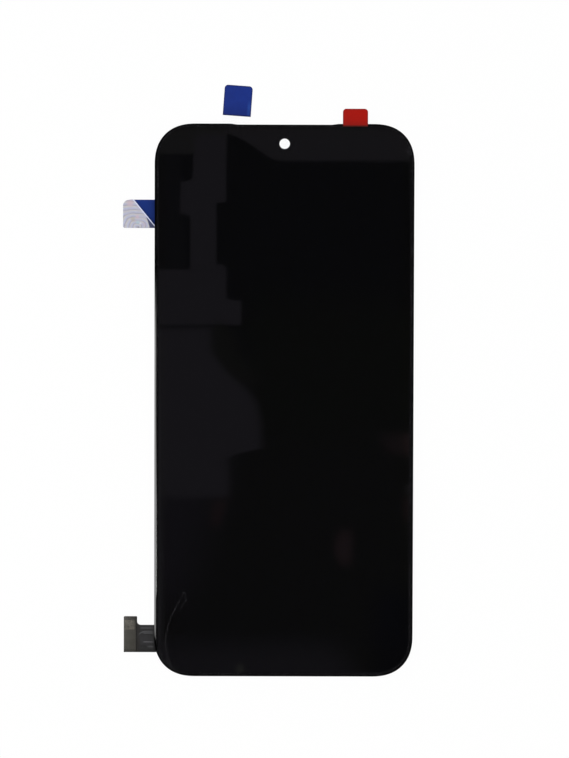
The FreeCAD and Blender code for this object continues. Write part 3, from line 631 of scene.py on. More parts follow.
@dataclass(frozen=True)
class FilmFinish(Finish):
    """A thin clear film: it lets nearly all light straight through and has a faint gloss and faint scuffs."""

    tint: Colour = (0.998, 0.999, 0.999)
    gloss: float = 0.04
    roughness: Pair = (0.02, 0.06)
    painted_sheen: float = 0.0
    sheen_and_crease_tint: Colour = (0.86, 0.83, 0.92)
    creases: tuple[Crease, ...] = ()

    def lay(self, recipe: Recipe) -> None:
        """Lay out the clear film with its gloss, painted sheen and creases.

        Args:
            recipe: The material in the making.
        """
        scuffs = recipe.noise(0.22, recipe.centred(stretch=(1.0, 0.5, 1.0)), 5.0, 0.6, 0.6)
        clear = recipe.add("ShaderNodeBsdfTransparent")
        clear.inputs["Color"].default_value = (*self.tint, 1.0)
        shine = recipe.add("ShaderNodeBsdfGlossy")
        shine.inputs["Color"].default_value = (1, 1, 1, 1)
        recipe.join(recipe.span(scuffs, 0.35, 0.7, *self.roughness), shine.inputs["Roughness"])
        facing = recipe.add("ShaderNodeFresnel")
        facing.inputs["IOR"].default_value = (1.0 + math.sqrt(self.gloss)) / (1.0 - math.sqrt(self.gloss))
        film = recipe.blend(facing.outputs[0], clear.outputs[0], shine.outputs[0])
        recipe.surface(self.whiten_film(recipe, film, scuffs))
        recipe.tree.nodes.remove(recipe.shader)

    def whiten_film(self, recipe: Recipe, film: Socket, scuffs: Socket) -> Socket:
        """Whiten the film a little: all over as a painted sheen, and along its creases.

        Args:
            recipe: The material in the making.
            film: The clear film's shader.
            scuffs: The noise that the haze follows.

        Returns:
            The whitened shader.
        """
        if not self.painted_sheen and not self.creases:
            return film
        # Painted sheen: a faint diffuse white over the film, used on the film's border to stand for the light its
        # edge reflects.
        share = recipe.swing(scuffs, 0.5 * self.painted_sheen, 1.5 * self.painted_sheen, 0.15)
        for crease in self.creases:
            share = recipe.maths("ADD", share, crease.mask(recipe))
        white = recipe.add("ShaderNodeBsdfDiffuse")
        white.inputs["Color"].default_value = (*self.sheen_and_crease_tint, 1.0)
        return recipe.blend(share, film, white.outputs[0])


@dataclass(frozen=True)
class TabFinish(Finish):
    """A glossy coloured pull tab with darker edges, a darker foot, faint rubbed streaks along its length and, where
    given, a painted highlight streak.
    """

    base: Colour
    edge: Colour
    centre: Pair
    half: Pair
    foot: Colour
    turn: float = 0.0
    rim: float = 0.42
    glint: Colour | None = None

    def lay(self, recipe: Recipe) -> None:
        """Lay out the tab's colours from its middle to its edges and its foot.

        Args:
            recipe: The material in the making.
        """
        half_x, half_y = self.half
        where = recipe.centred(*self.centre, turn=-self.turn)
        x, y = recipe.axis(where, "X"), recipe.axis(where, "Y")
        side = recipe.span(recipe.maths("ABSOLUTE", x), half_x - self.rim, half_x - 0.05)
        top = recipe.span(y, half_y - self.rim, half_y - 0.05)
        cloud = recipe.noise(0.5, where, 3.0)
        rubbed = recipe.noise(1.0, recipe.centred(stretch=(4.0, 0.5, 1.0)), 3.0)
        left = recipe.span(x, half_x, -half_x, 0.0, 0.18)
        darker = recipe.maths("ADD", left, recipe.swing(cloud, 0.0, 0.18))
        colour = recipe.mix(darker, self.base, self.edge)
        # Painted highlight: a lighter glint streak near the right edge, over the lower part of the tab.
        if self.glint:
            low = recipe.span(y, 0.2 * half_y, -0.5 * half_y)
            streak = recipe.maths("MULTIPLY", recipe.span(x, half_x - 1.3, half_x - 0.7), low)
            colour = recipe.mix(streak, colour, self.glint)
        colour = recipe.mix(recipe.maths("MAXIMUM", side, top), colour, self.edge)
        fall = recipe.span(y, 0.0, -half_y, 0.0, 0.35)
        end = recipe.span(y, 0.55 - half_y, 0.2 - half_y)
        colour = recipe.mix(recipe.maths("MAXIMUM", fall, end), colour, self.foot)
        recipe.set(
            Base_Color=colour,
            Roughness=recipe.swing(rubbed, 0.28, 0.45),
            Specular_IOR_Level=0.12,
        )
        recipe.bump(rubbed, 0.004)


@dataclass(frozen=True)
class SilverFinish(Finish):
    """The silvery reverse of the folded tab, with soft curved bands of lavender and grey, and a painted shade where
    the flap lifts.
    """

    centre: Pair
    shade: tuple[Pair, Pair]
    blots: tuple[tuple[float, float, float, Colour], ...]
    pitch: float = 0.64
    lift_shade_tint: Colour = (0.060, 0.072, 0.155)

    def lay(self, recipe: Recipe) -> None:
        """Lay out the bands, a few soft blots and the painted shade beyond the flap's lifting edge.

        Args:
            recipe: The material in the making.
        """
        where = recipe.centred(*self.centre, stretch=(0.77, 1.0, 0.0))
        warp = recipe.noise(0.28, where, 2.0)
        cubes = (recipe.maths("POWER", recipe.maths("ABSOLUTE", recipe.axis(where, name)), 3.0) for name in "XY")
        radius = recipe.maths("POWER", recipe.maths("ADD", *cubes), 0.8 / 3.0)
        steps = (recipe.maths("MULTIPLY", *pair) for pair in ((radius, 1.0 / self.pitch), (warp, 1.3)))
        phase = recipe.maths("FRACT", recipe.maths("ADD", *steps))
        wave = recipe.maths("SINE", recipe.maths("MULTIPLY", phase, 2.0 * math.pi))
        colour = recipe.ramp(phase, [
            (0.0, (0.37, 0.38, 0.44)), (0.2, (0.50, 0.50, 0.64)), (0.42, (0.52, 0.54, 0.72)),
            (0.62, (0.58, 0.60, 0.58)), (0.82, (0.62, 0.57, 0.61)), (1.0, (0.37, 0.38, 0.44)),
        ])
        drift = recipe.noise(0.6, recipe.centred(3.0, 1.0), 2.0)
        colour = recipe.mix(recipe.span(drift, 0.35, 0.7, 0.05, 0.6), colour, (0.52, 0.51, 0.62))
        for x, y, size, tint in self.blots:
            near = recipe.length(recipe.centred(x, y, stretch=(1.0, 1.0, 0.0)))
            colour = recipe.mix(recipe.span(near, 0.2 * size, size, 0.55, 0.0), colour, tint)
        # Painted shade: past the lifting edge the silver is mixed to a dark navy grey, the flap's underside in
        # shadow.
        colour = recipe.mix(self.lift_shade_share(recipe), colour, self.lift_shade_tint)
        recipe.set(Base_Color=colour, Roughness=recipe.span(wave, -1.0, 1.0, 0.35, 0.5), Specular_IOR_Level=0.3)
        recipe.bump(wave, 0.006)

    def lift_shade_share(self, recipe: Recipe) -> Socket:
        """Paint shade beyond the line where the flap lifts, standing for its blue underside in shadow.

        Args:
            recipe: The material in the making.

        Returns:
            The painted shade's share, from 0 to 1.
        """
        start, end = (Vector(point) for point in self.shade)
        along = end - start
        turned = recipe.centred(*start, turn=-math.degrees(math.atan2(along.y, along.x)))
        beyond = recipe.span(recipe.axis(turned, "Y"), -0.05, 0.22)
        return recipe.maths("MULTIPLY", beyond, recipe.span(recipe.axis(turned, "X"), -0.25, 0.35))


@dataclass(frozen=True)
class Trace:
    """A straight trace on the tail with a painted highlight along it, from a start along X at a level along Y."""

    start: float
    level: float
    half: float
    strength: float

    def glow(self, recipe: Recipe, x: Socket, y: Socket) -> Socket:
        """Say how strongly the trace's painted highlight shows at a place.

        Args:
            recipe: The flex's material in the making.
            x: The place along X.
            y: The place along Y.

        Returns:
            The brightness, from 0 to the trace's strength.
        """
        off = recipe.maths("ABSOLUTE", recipe.maths("SUBTRACT", y, self.level))
        line = recipe.span(off, 0.3 * self.half, self.half, self.strength, 0.0)
        return recipe.maths("MULTIPLY", line, recipe.span(x, self.start - 0.4, self.start + 0.4))


@dataclass(frozen=True)
class FlexFinish(Finish):
    """Black coverlay over copper traces that run along the tail, with painted highlights on the traces, a darker
    root beside the connector's plate and a painted shadow at the far end.
    """

    tail_low: float
    tail_width: float
    root: float
    far: float
    traces: tuple[Trace, ...]
    bow: Triple

    def lay(self, recipe: Recipe) -> None:
        """Lay out the bands across the tail, the traces' painted highlights, the dark root and the painted shadow
        over the far end.

        Args:
            recipe: The material in the making.
        """
        where = recipe.centred()
        x, y = recipe.axis(where, "X"), recipe.axis(where, "Y")
        wander = recipe.maths("MULTIPLY_ADD", recipe.noise(0.5, where, 1.0), 0.3)
        up = recipe.maths("SUBTRACT", recipe.maths("ADD", y, wander), self.tail_low)
        fine = recipe.noise(5.0, where, 4.0)
        deep, low, mid = grey(0.006), grey(0.013), (0.018, 0.0175, 0.019)
        colour = recipe.ramp(recipe.maths("DIVIDE", up, self.tail_width), [
            (0.0, deep), (0.06, low), (0.16, deep), (0.24, low), (0.33, deep),
            (0.38, mid), (0.62, mid), (0.74, low), (0.9, low), (1.0, mid),
        ])
        # Painted highlight: the traces are mixed towards a light grey, standing for the sheen on their raised
        # copper.
        lit = recipe.maths("MULTIPLY", self.lit(recipe, x, y), recipe.span(fine, 0.2, 0.6, 0.7, 1.0))
        colour = recipe.mix(lit, colour, (0.135, 0.134, 0.144))
        root = recipe.maths("ADD", x, recipe.maths("MULTIPLY", recipe.noise(0.9, where, 2.0), 0.9))
        rooted = recipe.span(root, self.root + 1.7, self.root + 1.1, 0.0, 0.9)
        colour = recipe.mix(rooted, colour, (0.012, 0.010, 0.008))
        # Painted shadow: the tail darkens towards the far end, where it runs in under the glass edge.
        colour = recipe.mix(recipe.span(x, self.far - 0.75, self.far - 0.15, 0.0, 0.8), colour, grey(0.004))
        recipe.set(
            Base_Color=recipe.mix(recipe.span(fine, 0.4, 0.7, 0.0, 0.16), colour, grey(0.04)),
            Roughness=recipe.swing(fine, 0.38, 0.52),
        )
        recipe.bump(recipe.maths("ADD", lit, recipe.maths("MULTIPLY", fine, 0.25)), 0.02)

    def lit(self, recipe: Recipe, x: Socket, y: Socket) -> Socket:
        """Paint highlights on the straight traces and on the one that bows down to the root.

        Args:
            recipe: The material in the making.
            x: The place along X.
            y: The place along Y.

        Returns:
            The traces' brightness, from 0 to 1.
        """
        total = 0.0
        for trace in self.traces:
            total = recipe.maths("MAXIMUM", trace.glow(recipe, x, y), total)
        bow_x, bow_y, size = self.bow
        back = recipe.maths("MINIMUM", recipe.maths("SUBTRACT", x, bow_x), 0.0)
        up = recipe.maths("SUBTRACT", y, bow_y)
        squares = (recipe.maths("MULTIPLY", side, side) for side in (back, up))
        away = recipe.maths("SQRT", recipe.maths("ADD", *squares))
        ring = recipe.span(recipe.maths("ABSOLUTE", recipe.maths("SUBTRACT", away, size)), 0.06, 0.2, 0.45, 0.0)
        return recipe.maths("MAXIMUM", total, recipe.maths("MULTIPLY", ring, recipe.span(up, 0.9, 1.5)))


@dataclass(frozen=True)
class StiffenerFinish(Finish):
    """Olive-grey laminate with a darker upper band, right edge and foot."""

    top: float
    foot: float
    right: float

    def lay(self, recipe: Recipe) -> None:
        """Lay out the laminate's grain and its darker parts.

        Args:
            recipe: The material in the making.
        """
        where = recipe.centred()
        x, y = recipe.axis(where, "X"), recipe.axis(where, "Y")
        fine = recipe.noise(4.0, where, 4.0)
        cloud = recipe.noise(0.7, where, 2.0)
        base = recipe.mix(recipe.swing(cloud, reach=0.15), (0.041, 0.038, 0.0295), (0.049, 0.0455, 0.036))
        band = recipe.span(y, self.top - 1.0, self.top - 0.7, 0.0, 0.62)
        band = recipe.maths("MULTIPLY", band, recipe.span(recipe.noise(1.1, where, 2.0), 0.3, 0.6, 0.75, 1.0))
        side = recipe.span(x, self.right - 0.30, self.right - 0.05, 0.0, 0.5)
        foot = recipe.span(y, self.foot + 0.90, self.foot + 0.60, 0.0, 0.72)
        dark = recipe.maths("MAXIMUM", recipe.maths("MAXIMUM", band, foot), side)
        colour = recipe.mix(dark, base, (0.020, 0.018, 0.015))
        recipe.set(
            Base_Color=recipe.mix(recipe.span(fine, 0.45, 0.75, 0.0, 0.3), colour, (0.09, 0.085, 0.072)),
            Roughness=recipe.swing(fine, 0.45, 0.6),
        )
        recipe.bump(fine, 0.006)


@dataclass(frozen=True)
class PadFinish(Finish):
    """A brown-grey pad with a coarse mottled grain."""

    def lay(self, recipe: Recipe) -> None:
        """Lay out the coarse lumps and the fine grain.

        Args:
            recipe: The material in the making.
        """
        where = recipe.centred()
        lumps = recipe.noise(2.6, where, 3.0, 0.65)
        fine = recipe.noise(9.0, where, 3.0)
        colour = recipe.ramp(lumps, [
            (0.30, (0.036, 0.032, 0.024)), (0.46, (0.090, 0.082, 0.066)), (0.72, (0.138, 0.122, 0.098)),
        ])
        recipe.set(
            Base_Color=recipe.mix(recipe.span(fine, 0.4, 0.7, 0.0, 0.3), colour, (0.07, 0.066, 0.056)),
            Roughness=recipe.swing(fine, 0.6, 0.8),
        )
        recipe.bump(lumps, 0.03)


@dataclass(frozen=True)
class BandedFinish(Finish):
    """A small part whose ends or side are another stuff: tinned ends, leads or a lens, told apart along one axis."""

    body: Colour
    other: Colour
    axis: str
    middle: float
    reach: float
    metal: bool = True

    def lay(self, recipe: Recipe) -> None:
        """Lay out the body, and the other stuff past the reach from the middle.

        Args:
            recipe: The material in the making.
        """
        where = recipe.centred()
        away = recipe.maths("ABSOLUTE", recipe.maths("SUBTRACT", recipe.axis(where, self.axis), self.middle))
        share = recipe.maths("GREATER_THAN", away, self.reach)
        fine = recipe.noise(8.0, where, 3.0)
        body = recipe.mix(recipe.swing(fine), self.body, scaled(self.body, 0.8))
        recipe.set(
            Base_Color=recipe.mix(share, body, self.other),
            Metallic=recipe.maths("MULTIPLY", share, 1.0 if self.metal else 0.0),
            Roughness=recipe.swing(fine, 0.3, 0.5),
        )
        recipe.bump(fine, 0.004)


class Finishes:
    """Every finish of the assembly, built once."""

    def __init__(self) -> None:
        """Build the materials, from the front of the assembly to the back."""
        self.screen_parts()
        self.backlight_parts()
        self.flex_parts()
        self.films_and_tabs()

    def screen_parts(self) -> None:
        """Build the finishes of the glass, its print and the display behind it."""
        self.cover_glass = InkedGlassFinish(
            "CoverGlass", ink=grey(0.0009), display=(0.0009, 0.0009, 0.0013), view_half=(31.3, 68.35),
            view_middle=1.95, window=(0.0, 68.32), window_radius=1.40,
        ).build()
        self.ink = MouldedFinish("BlackInk", grey(0.0025), grey(0.0018), 5.0, (0.3, 0.45), 0.002).build()
        self.adhesive = ClearFinish("ClearAdhesive", (0.96, 0.97, 0.97), 1.47).build()
        self.polariser = MouldedFinish(
            "Polariser", (0.0028, 0.0028, 0.0034), (0.002, 0.002, 0.0026), 3.0, (0.2, 0.3), 0.001).build()
        self.display_glass = ClearFinish("DisplayGlass", (0.86, 0.93, 0.90), 1.51).build()
        self.silicon = MouldedFinish(
            "Silicon", (0.12, 0.13, 0.16), (0.08, 0.09, 0.12), 4.0, (0.15, 0.3), 0.001).build()
        self.black_tape = MouldedFinish("BlackTape", grey(0.012), grey(0.008), 9.0, (0.6, 0.75), 0.006).build()

    def backlight_parts(self) -> None:
        """Build the finishes of the films, the light guide, the frame, the tray and the lamps."""
        self.optical_film = ClearFinish(
            "OpticalFilm", (0.90, 0.92, 0.93), 1.55, (0.25, 0.45), 1.0, (0.2, 14.0, 1.0), 0.004).build()
        self.light_guide = ClearFinish("LightGuide", (0.93, 0.96, 0.96), 1.49, (0.05, 0.2), 5.0).build()
        self.reflector = MouldedFinish(
            "ReflectorFilm", (0.86, 0.87, 0.88), (0.80, 0.81, 0.82), 5.0, (0.12, 0.22), 0.001).build()
        self.frame_plastic = MouldedFinish(
            "FramePlastic", (0.80, 0.80, 0.77), (0.72, 0.72, 0.69), 7.0, (0.4, 0.55), 0.004).build()
        self.tray_steel = MetalFinish("TraySteel", (0.60, 0.60, 0.61), (0.56, 0.56, 0.57)).build()
        self.lamp = BandedFinish(
            "LampBody", (0.82, 0.82, 0.78), (0.85, 0.62, 0.12), "Y", middle=-69.19, reach=0.47, metal=False).build()

    def flex_parts(self) -> None:
        """Build the finishes of the flex circuits and what they carry."""
        self.flex = FlexFinish(
            "FlexLaminate", tail_low=-67.53, tail_width=7.33, root=-39.45, far=-34.5, bow=(-36.78, -64.54, 2.62),
            traces=(
                Trace(-38.3, -61.04, 0.24, 0.35), Trace(-37.0, -61.90, 0.16, 0.45), Trace(-37.5, -62.38, 0.22, 0.54),
                Trace(-37.5, -64.78, 0.20, 0.60), Trace(-36.4, -66.0, 0.35, 0.30),
            ),
        ).build()
        self.capacitor = BandedFinish(
            "Capacitor", (0.36, 0.26, 0.16), (0.72, 0.71, 0.68), "Y", middle=-64.96, reach=0.25).build()
        self.memory = BandedFinish(
            "MemoryChip", grey(0.02), (0.70, 0.69, 0.66), "X", middle=9.0, reach=1.501).build()
        self.diode = MouldedFinish("DiodeBody", grey(0.022), grey(0.014), 8.0).build()
        self.connector = MouldedFinish(
            "ConnectorBody", (0.035, 0.033, 0.03), (0.025, 0.024, 0.022), 8.0, (0.4, 0.55)).build()
        self.gold = MetalFinish(
            "ContactGold", (0.80, 0.58, 0.24), (0.70, 0.50, 0.20), (6.0, 6.0, 6.0), (0.18, 0.3)).build()
        self.stiffener = StiffenerFinish("Stiffener", top=-57.94, foot=-67.47, right=-39.45).build()
        self.pad = PadFinish("TexturedPad").build()

    def films_and_tabs(self) -> None:
        """Build the finishes of the protective films and their pull tabs."""
        self.film = FilmFinish("ClearFilm", gloss=0.008).build()
        self.front_film = FilmFinish("FrontFilm", gloss=0.010, creases=(
            Crease((-26.5, -51.2), (-27.8, -53.4), 0.26, 0.008), Crease((-27.8, -53.4), (-28.9, -55.6), 0.28, 0.010),
            Crease((-28.9, -55.6), (-30.1, -57.8), 0.30, 0.012), Crease((-30.1, -57.8), (-31.0, -61.0), 0.30, 0.008),
            Crease((-31.0, -61.0), (-31.6, -64.9), 0.50, 0.006), Crease((-31.6, -64.9), (-30.7, -69.6), 0.70, 0.006),
            Crease((-26.5, -51.2), (-25.9, -53.2), 0.30, 0.006), Crease((-25.9, -53.2), (-27.6, -55.6), 0.35, 0.006),
            Crease((-32.4, -41.5), (-32.2, -42.3), 0.35, 0.007), Crease((15.6, -57.6), (15.7, -57.8), 0.35, 0.010),
            Crease((31.8, 69.7), (33.0, 67.7), 0.30, 0.013), Crease((33.0, 67.7), (33.4, 65.4), 0.30, 0.014),
            Crease((29.8, 70.6), (31.6, 69.8), 0.32, 0.007), Crease((32.3, 66.8), (32.9, 66.0), 0.40, 0.011),
            Crease((-32.9, -66.5), (-32.4, -68.1), 0.35, 0.007), Crease((-31.3, -69.5), (-29.7, -70.9), 0.50, 0.009),
        )).build()
        # Painted sheen: the film's border faces get a faint white, standing for the light the edge reflects.
        self.film_edge = FilmFinish("FilmEdge", gloss=0.010, painted_sheen=0.006).build()
        self.film_back = FilmFinish("FilmBack", gloss=0.0001).build()
        self.red = TabFinish(
            "RedTab", base=(0.425, 0.0072, 0.0026), edge=(0.27, 0.006, 0.005), centre=(18.75, 75.19),
            half=(3.325, 2.375), turn=-0.1, rim=0.3, foot=(0.07, 0.011, 0.009),
        ).build()
        self.blue = TabFinish(
            "BlueTab", base=(0.0125, 0.037, 0.26), edge=(0.010, 0.020, 0.15), centre=(-12.52, 79.95),
            half=(3.74, 4.05), turn=-4.1, rim=0.5, glint=(0.021, 0.070, 0.36), foot=(0.009, 0.018, 0.12),
        ).build()
        self.side_blue = MouldedFinish(
            "SideBlue", (0.010, 0.034, 0.210), (0.009, 0.025, 0.145), 4.0, (0.3, 0.45), 0.003, 0.12).build()
        self.silver = SilverFinish(
            "SilverReverse", centre=(-39.3, 46.24), shade=((-36.95, 49.3), (-35.9, 45.9)),
            blots=(
                (-41.2, 52.6, 1.4, (0.70, 0.50, 0.54)), (-39.2, 49.0, 0.8, (0.70, 0.50, 0.56)),
                (-39.1, 47.5, 0.75, (0.42, 0.62, 0.66)), (-40.4, 48.3, 0.9, (0.50, 0.42, 0.30)),
                (-37.4, 46.9, 0.9, (0.52, 0.44, 0.60)), (-38.4, 47.2, 0.45, (0.80, 0.80, 0.84)),
                (-38.9, 46.2, 0.38, (0.10, 0.09, 0.09)),
            ),
        ).build()
        # Painted highlight: a near-white lavender along the flap's free edge, standing for the light that edge
        # catches.
        self.edge_highlight = MouldedFinish(
            "EdgeHighlight", (0.74, 0.78, 1.0), (0.60, 0.64, 0.90), 5.0, (0.3, 0.45), 0.003).build()

    def by_node(self) -> dict[str, bpy.types.Material]:
        """Match each CAD node that stays with its finish.

        Returns:
            The materials by the nodes' names.
        """
        return {
            "border_print": self.ink,
            "optical_adhesive": self.adhesive,
            "front_polariser": self.polariser,
            "colour_filter_glass": self.display_glass,
            "array_glass": self.display_glass,
            "driver_chip": self.silicon,
            "driver_tape": self.black_tape,
            "rear_polariser": self.polariser,
            "rim_tape": self.black_tape,
            "camera_seal": self.black_tape,
            "prism_film_upper": self.optical_film,
            "prism_film_lower": self.optical_film,
            "diffuser_film": self.optical_film,
            "light_guide": self.light_guide,
            "reflector_film": self.reflector,
            "backlight_frame": self.frame_plastic,
            "backlight_tray": self.tray_steel,
            "backlight_leds": self.lamp,
            "led_flex": self.flex,
            "main_flex": self.flex,
            "flex_tape": self.black_tape,
            "capacitors": self.capacitor,
            "memory_chip": self.memory,
            "diodes": self.diode,
            "connector_plug": self.connector,
            "connector_contacts": self.gold,
            "connector_hold_downs": self.gold,
            "rear_protective_film": self.film,
        }


@dataclass
class CoverGlass:
    """The cover glass: a thin plate with eased corners, a curved front rim and a shallow recess for the earpiece."""

    width: float = 69.0
    length: float = 147.2
    back: float = 1.589
    front: float = 2.185
    corner_reach: float = 11.0
    corner_profile: float = 0.555
    corner_steps: int = 22
    rim_width: float = 1.2
    rim_drop: float = 0.25
    rim_steps: int = 7
    rim_guard: float = 0.04
    chamfer: float = 0.10
    recess_half: float = 13.45
    recess_depth: float = 0.24
    recess_ease: float = 2.4
    recess_steps: int = 6

    def recess(self, model: Modeller) -> None:
        """Step the top edge down over the recess, with eased ends.

        Args:
            model: The glass, still flat.
        """
        top = self.length / 2
        steps = range(self.recess_steps + 1)
        places = [self.recess_half + self.recess_ease * (0.5 - step / self.recess_steps) for step in steps]
        for place in places:
            for side in Side:
                model.everything()
                model.cut((side.value * place, 0, 0), (1, 0, 0))
        depth = 0.0
        for step, place in enumerate(places[1:], 1):
            share = step / self.recess_steps
            target = self.recess_depth * share * share * (3 - 2 * share)
            model.pick(Kind.VERTEX, lambda at, normal: at.y > top - 1 and abs(at.x) < place + 0.001)
            model.move(y=depth - target)
            depth = target

    def rim(self, model: Modeller) -> None:
        """Carry the front face inwards and upwards along the rim's arc.

        Args:
            model: The glass, with its front face selected.
        """
        radius = (self.rim_width**2 + self.rim_drop**2) / (2 * self.rim_drop)
        turn = math.asin(self.rim_width / radius)
        reached, risen = 0.0, 0.0
        for step in range(1, self.rim_steps + 1):
            angle = turn * (1 - step / self.rim_steps)
            run = self.rim_width - radius * math.sin(angle)
            rise = self.rim_drop - radius * (1 - math.cos(angle))
            model.inset(run - reached, rise - risen)
            reached, risen = run, rise
        model.inset(self.rim_guard)

    def build(self, finishes: Finishes) -> bpy.types.Object:
        """Model and dress the glass.

        Args:
            finishes: The assembly's materials.

        Returns:
            The glass.
        """
        model = Modeller("CoverGlass", (0, 0, self.back + self.chamfer), (self.width, self.length))
        model.pick(Kind.VERTEX, lambda at, normal: True)
        model.round_corners(self.corner_reach, self.corner_steps, self.corner_profile)
        self.recess(model)
        shoulder = self.front - self.rim_drop
        model.thicken(shoulder - self.back - self.chamfer)
        model.pick(Kind.FACE, lambda at, normal: normal.z > 0.9)
        self.rim(model)
        model.pick(Kind.FACE, lambda at, normal: normal.z < -0.9)
        model.inset(self.chamfer, self.chamfer)
        return model.finish([finishes.cover_glass], "cover_glass", "cover_glass", 40.0)


@dataclass
class FrontFilm:
    """The clear film on the screen: it follows the rim a little and has a tongue under the red tab."""

    width: float = 67.8
    length: float = 146.0
    back: float = 2.190
    thickness: float = 0.055
    corner: float = 9.0
    corner_steps: int = 16
    tongue: Pair = (15.295, 21.945)
    tongue_end: float = 77.6
    tongue_corner: float = 0.9
    tongue_steps: int = 6
    dip: float = 0.05
    dip_step: float = 0.30
    dip_guard: float = 0.04
    dip_margin: float = 0.02
    turned: float = -0.10

    def build(self, finishes: Finishes) -> bpy.types.Object:
        """Model and dress the film.

        Args:
            finishes: The assembly's materials.

        Returns:
            The film.
        """
        half = self.length / 2
        model = Modeller("FrontFilm", (0, 0, self.back), (self.width, self.length))
        model.pick(Kind.VERTEX, lambda at, normal: True)
        model.round_corners(self.corner, self.corner_steps)
        left, right = self.tongue
        for x in (left, right):
            model.everything()
            model.cut((x, 0, 0), (1, 0, 0))
        model.pick(Kind.EDGE, lambda at, way: at.y > half - 0.01 and left < at.x < right)
        model.draw_out(0, self.tongue_end - half, 0)
        model.pick(Kind.VERTEX, lambda at, normal: at.y > self.tongue_end - 0.01)
        model.round_corners(self.tongue_corner, self.tongue_steps)
        self.follow_rim(model)
        model.turn(self.turned, (0, 0))
        model.modifier("SOLIDIFY", thickness=self.thickness * MM, offset=1.0)
        layers = [finishes.front_film, finishes.film_edge, finishes.film_back]
        piece = model.finish(layers, "clear_film", "front_protective_film", 30.0)
        for face in piece.data.polygons:
            border = self.outer(face.center / MM, self.dip_step - self.dip_margin)
            # Border faces take the film-edge finish with its painted sheen.
            face.material_index = 2 if face.normal.z < 0.5 else 1 if border else 0
        return piece

    def outer(self, at: Vector, depth: float) -> bool:
        """Say whether a point is near the film's straight or rounded outline, off the tongue.

        Args:
            at: The point in millimetres.
            depth: How far from the outline still counts as near.

        Returns:
            True near the outline.
        """
        half = self.length / 2
        past_x = max(abs(at.x) - self.width / 2 + self.corner, 0)
        past_y = max(abs(at.y) - half + self.corner, 0)
        inside = min(self.width / 2 - abs(at.x), half - abs(at.y))
        if past_x > 0 and past_y > 0:
            inside = self.corner - math.hypot(past_x, past_y)
        on_tongue = self.tongue[0] - 0.01 <= at.x <= self.tongue[1] + 0.01 and at.y > half - 1.0
        return inside < depth and not on_tongue

    def follow_rim(self, model: Modeller) -> None:
        """Let the film's edge dip over the glass's curved rim, except along the tongue.

        Args:
            model: The film, still flat and without thickness.
        """
        model.pick(Kind.FACE, lambda at, normal: True)
        for width in (self.dip_step, self.dip_step, self.dip_guard):
            model.inset(width)
        for depth, share in ((0.0, 0.75), (self.dip_step, 0.25)):
            model.pick(Kind.VERTEX, lambda at, normal: self.outer(at, depth + self.dip_margin))
            model.move(z=-self.dip * share)


@dataclass
class PullTab:
    """A flat pull tab with rounded outer corners and softened edges."""

    name: str
    node: str
    slot: str
    centre: Pair
    size: Pair
    back: float
    corner: float
    turned: float
    about: Pair
    thickness: float = 0.078
    corner_steps: int = 8
    edge: float = 0.02

    def build(self, finish: bpy.types.Material) -> bpy.types.Object:
        """Model and dress the tab.

        Args:
            finish: The tab's material.

        Returns:
            The tab.
        """
        model = Modeller(self.name, (*self.centre, self.back), self.size)
        end = self.centre[1] + self.size[1] / 2
        model.pick(Kind.VERTEX, lambda at, normal: at.y > end - 0.01)
        model.round_corners(self.corner, self.corner_steps)
        model.thicken(self.thickness)
        model.soften_edges(self.back + self.thickness, self.edge)
        model.turn(self.turned, self.about)
        return model.finish([finish], self.slot, self.node)


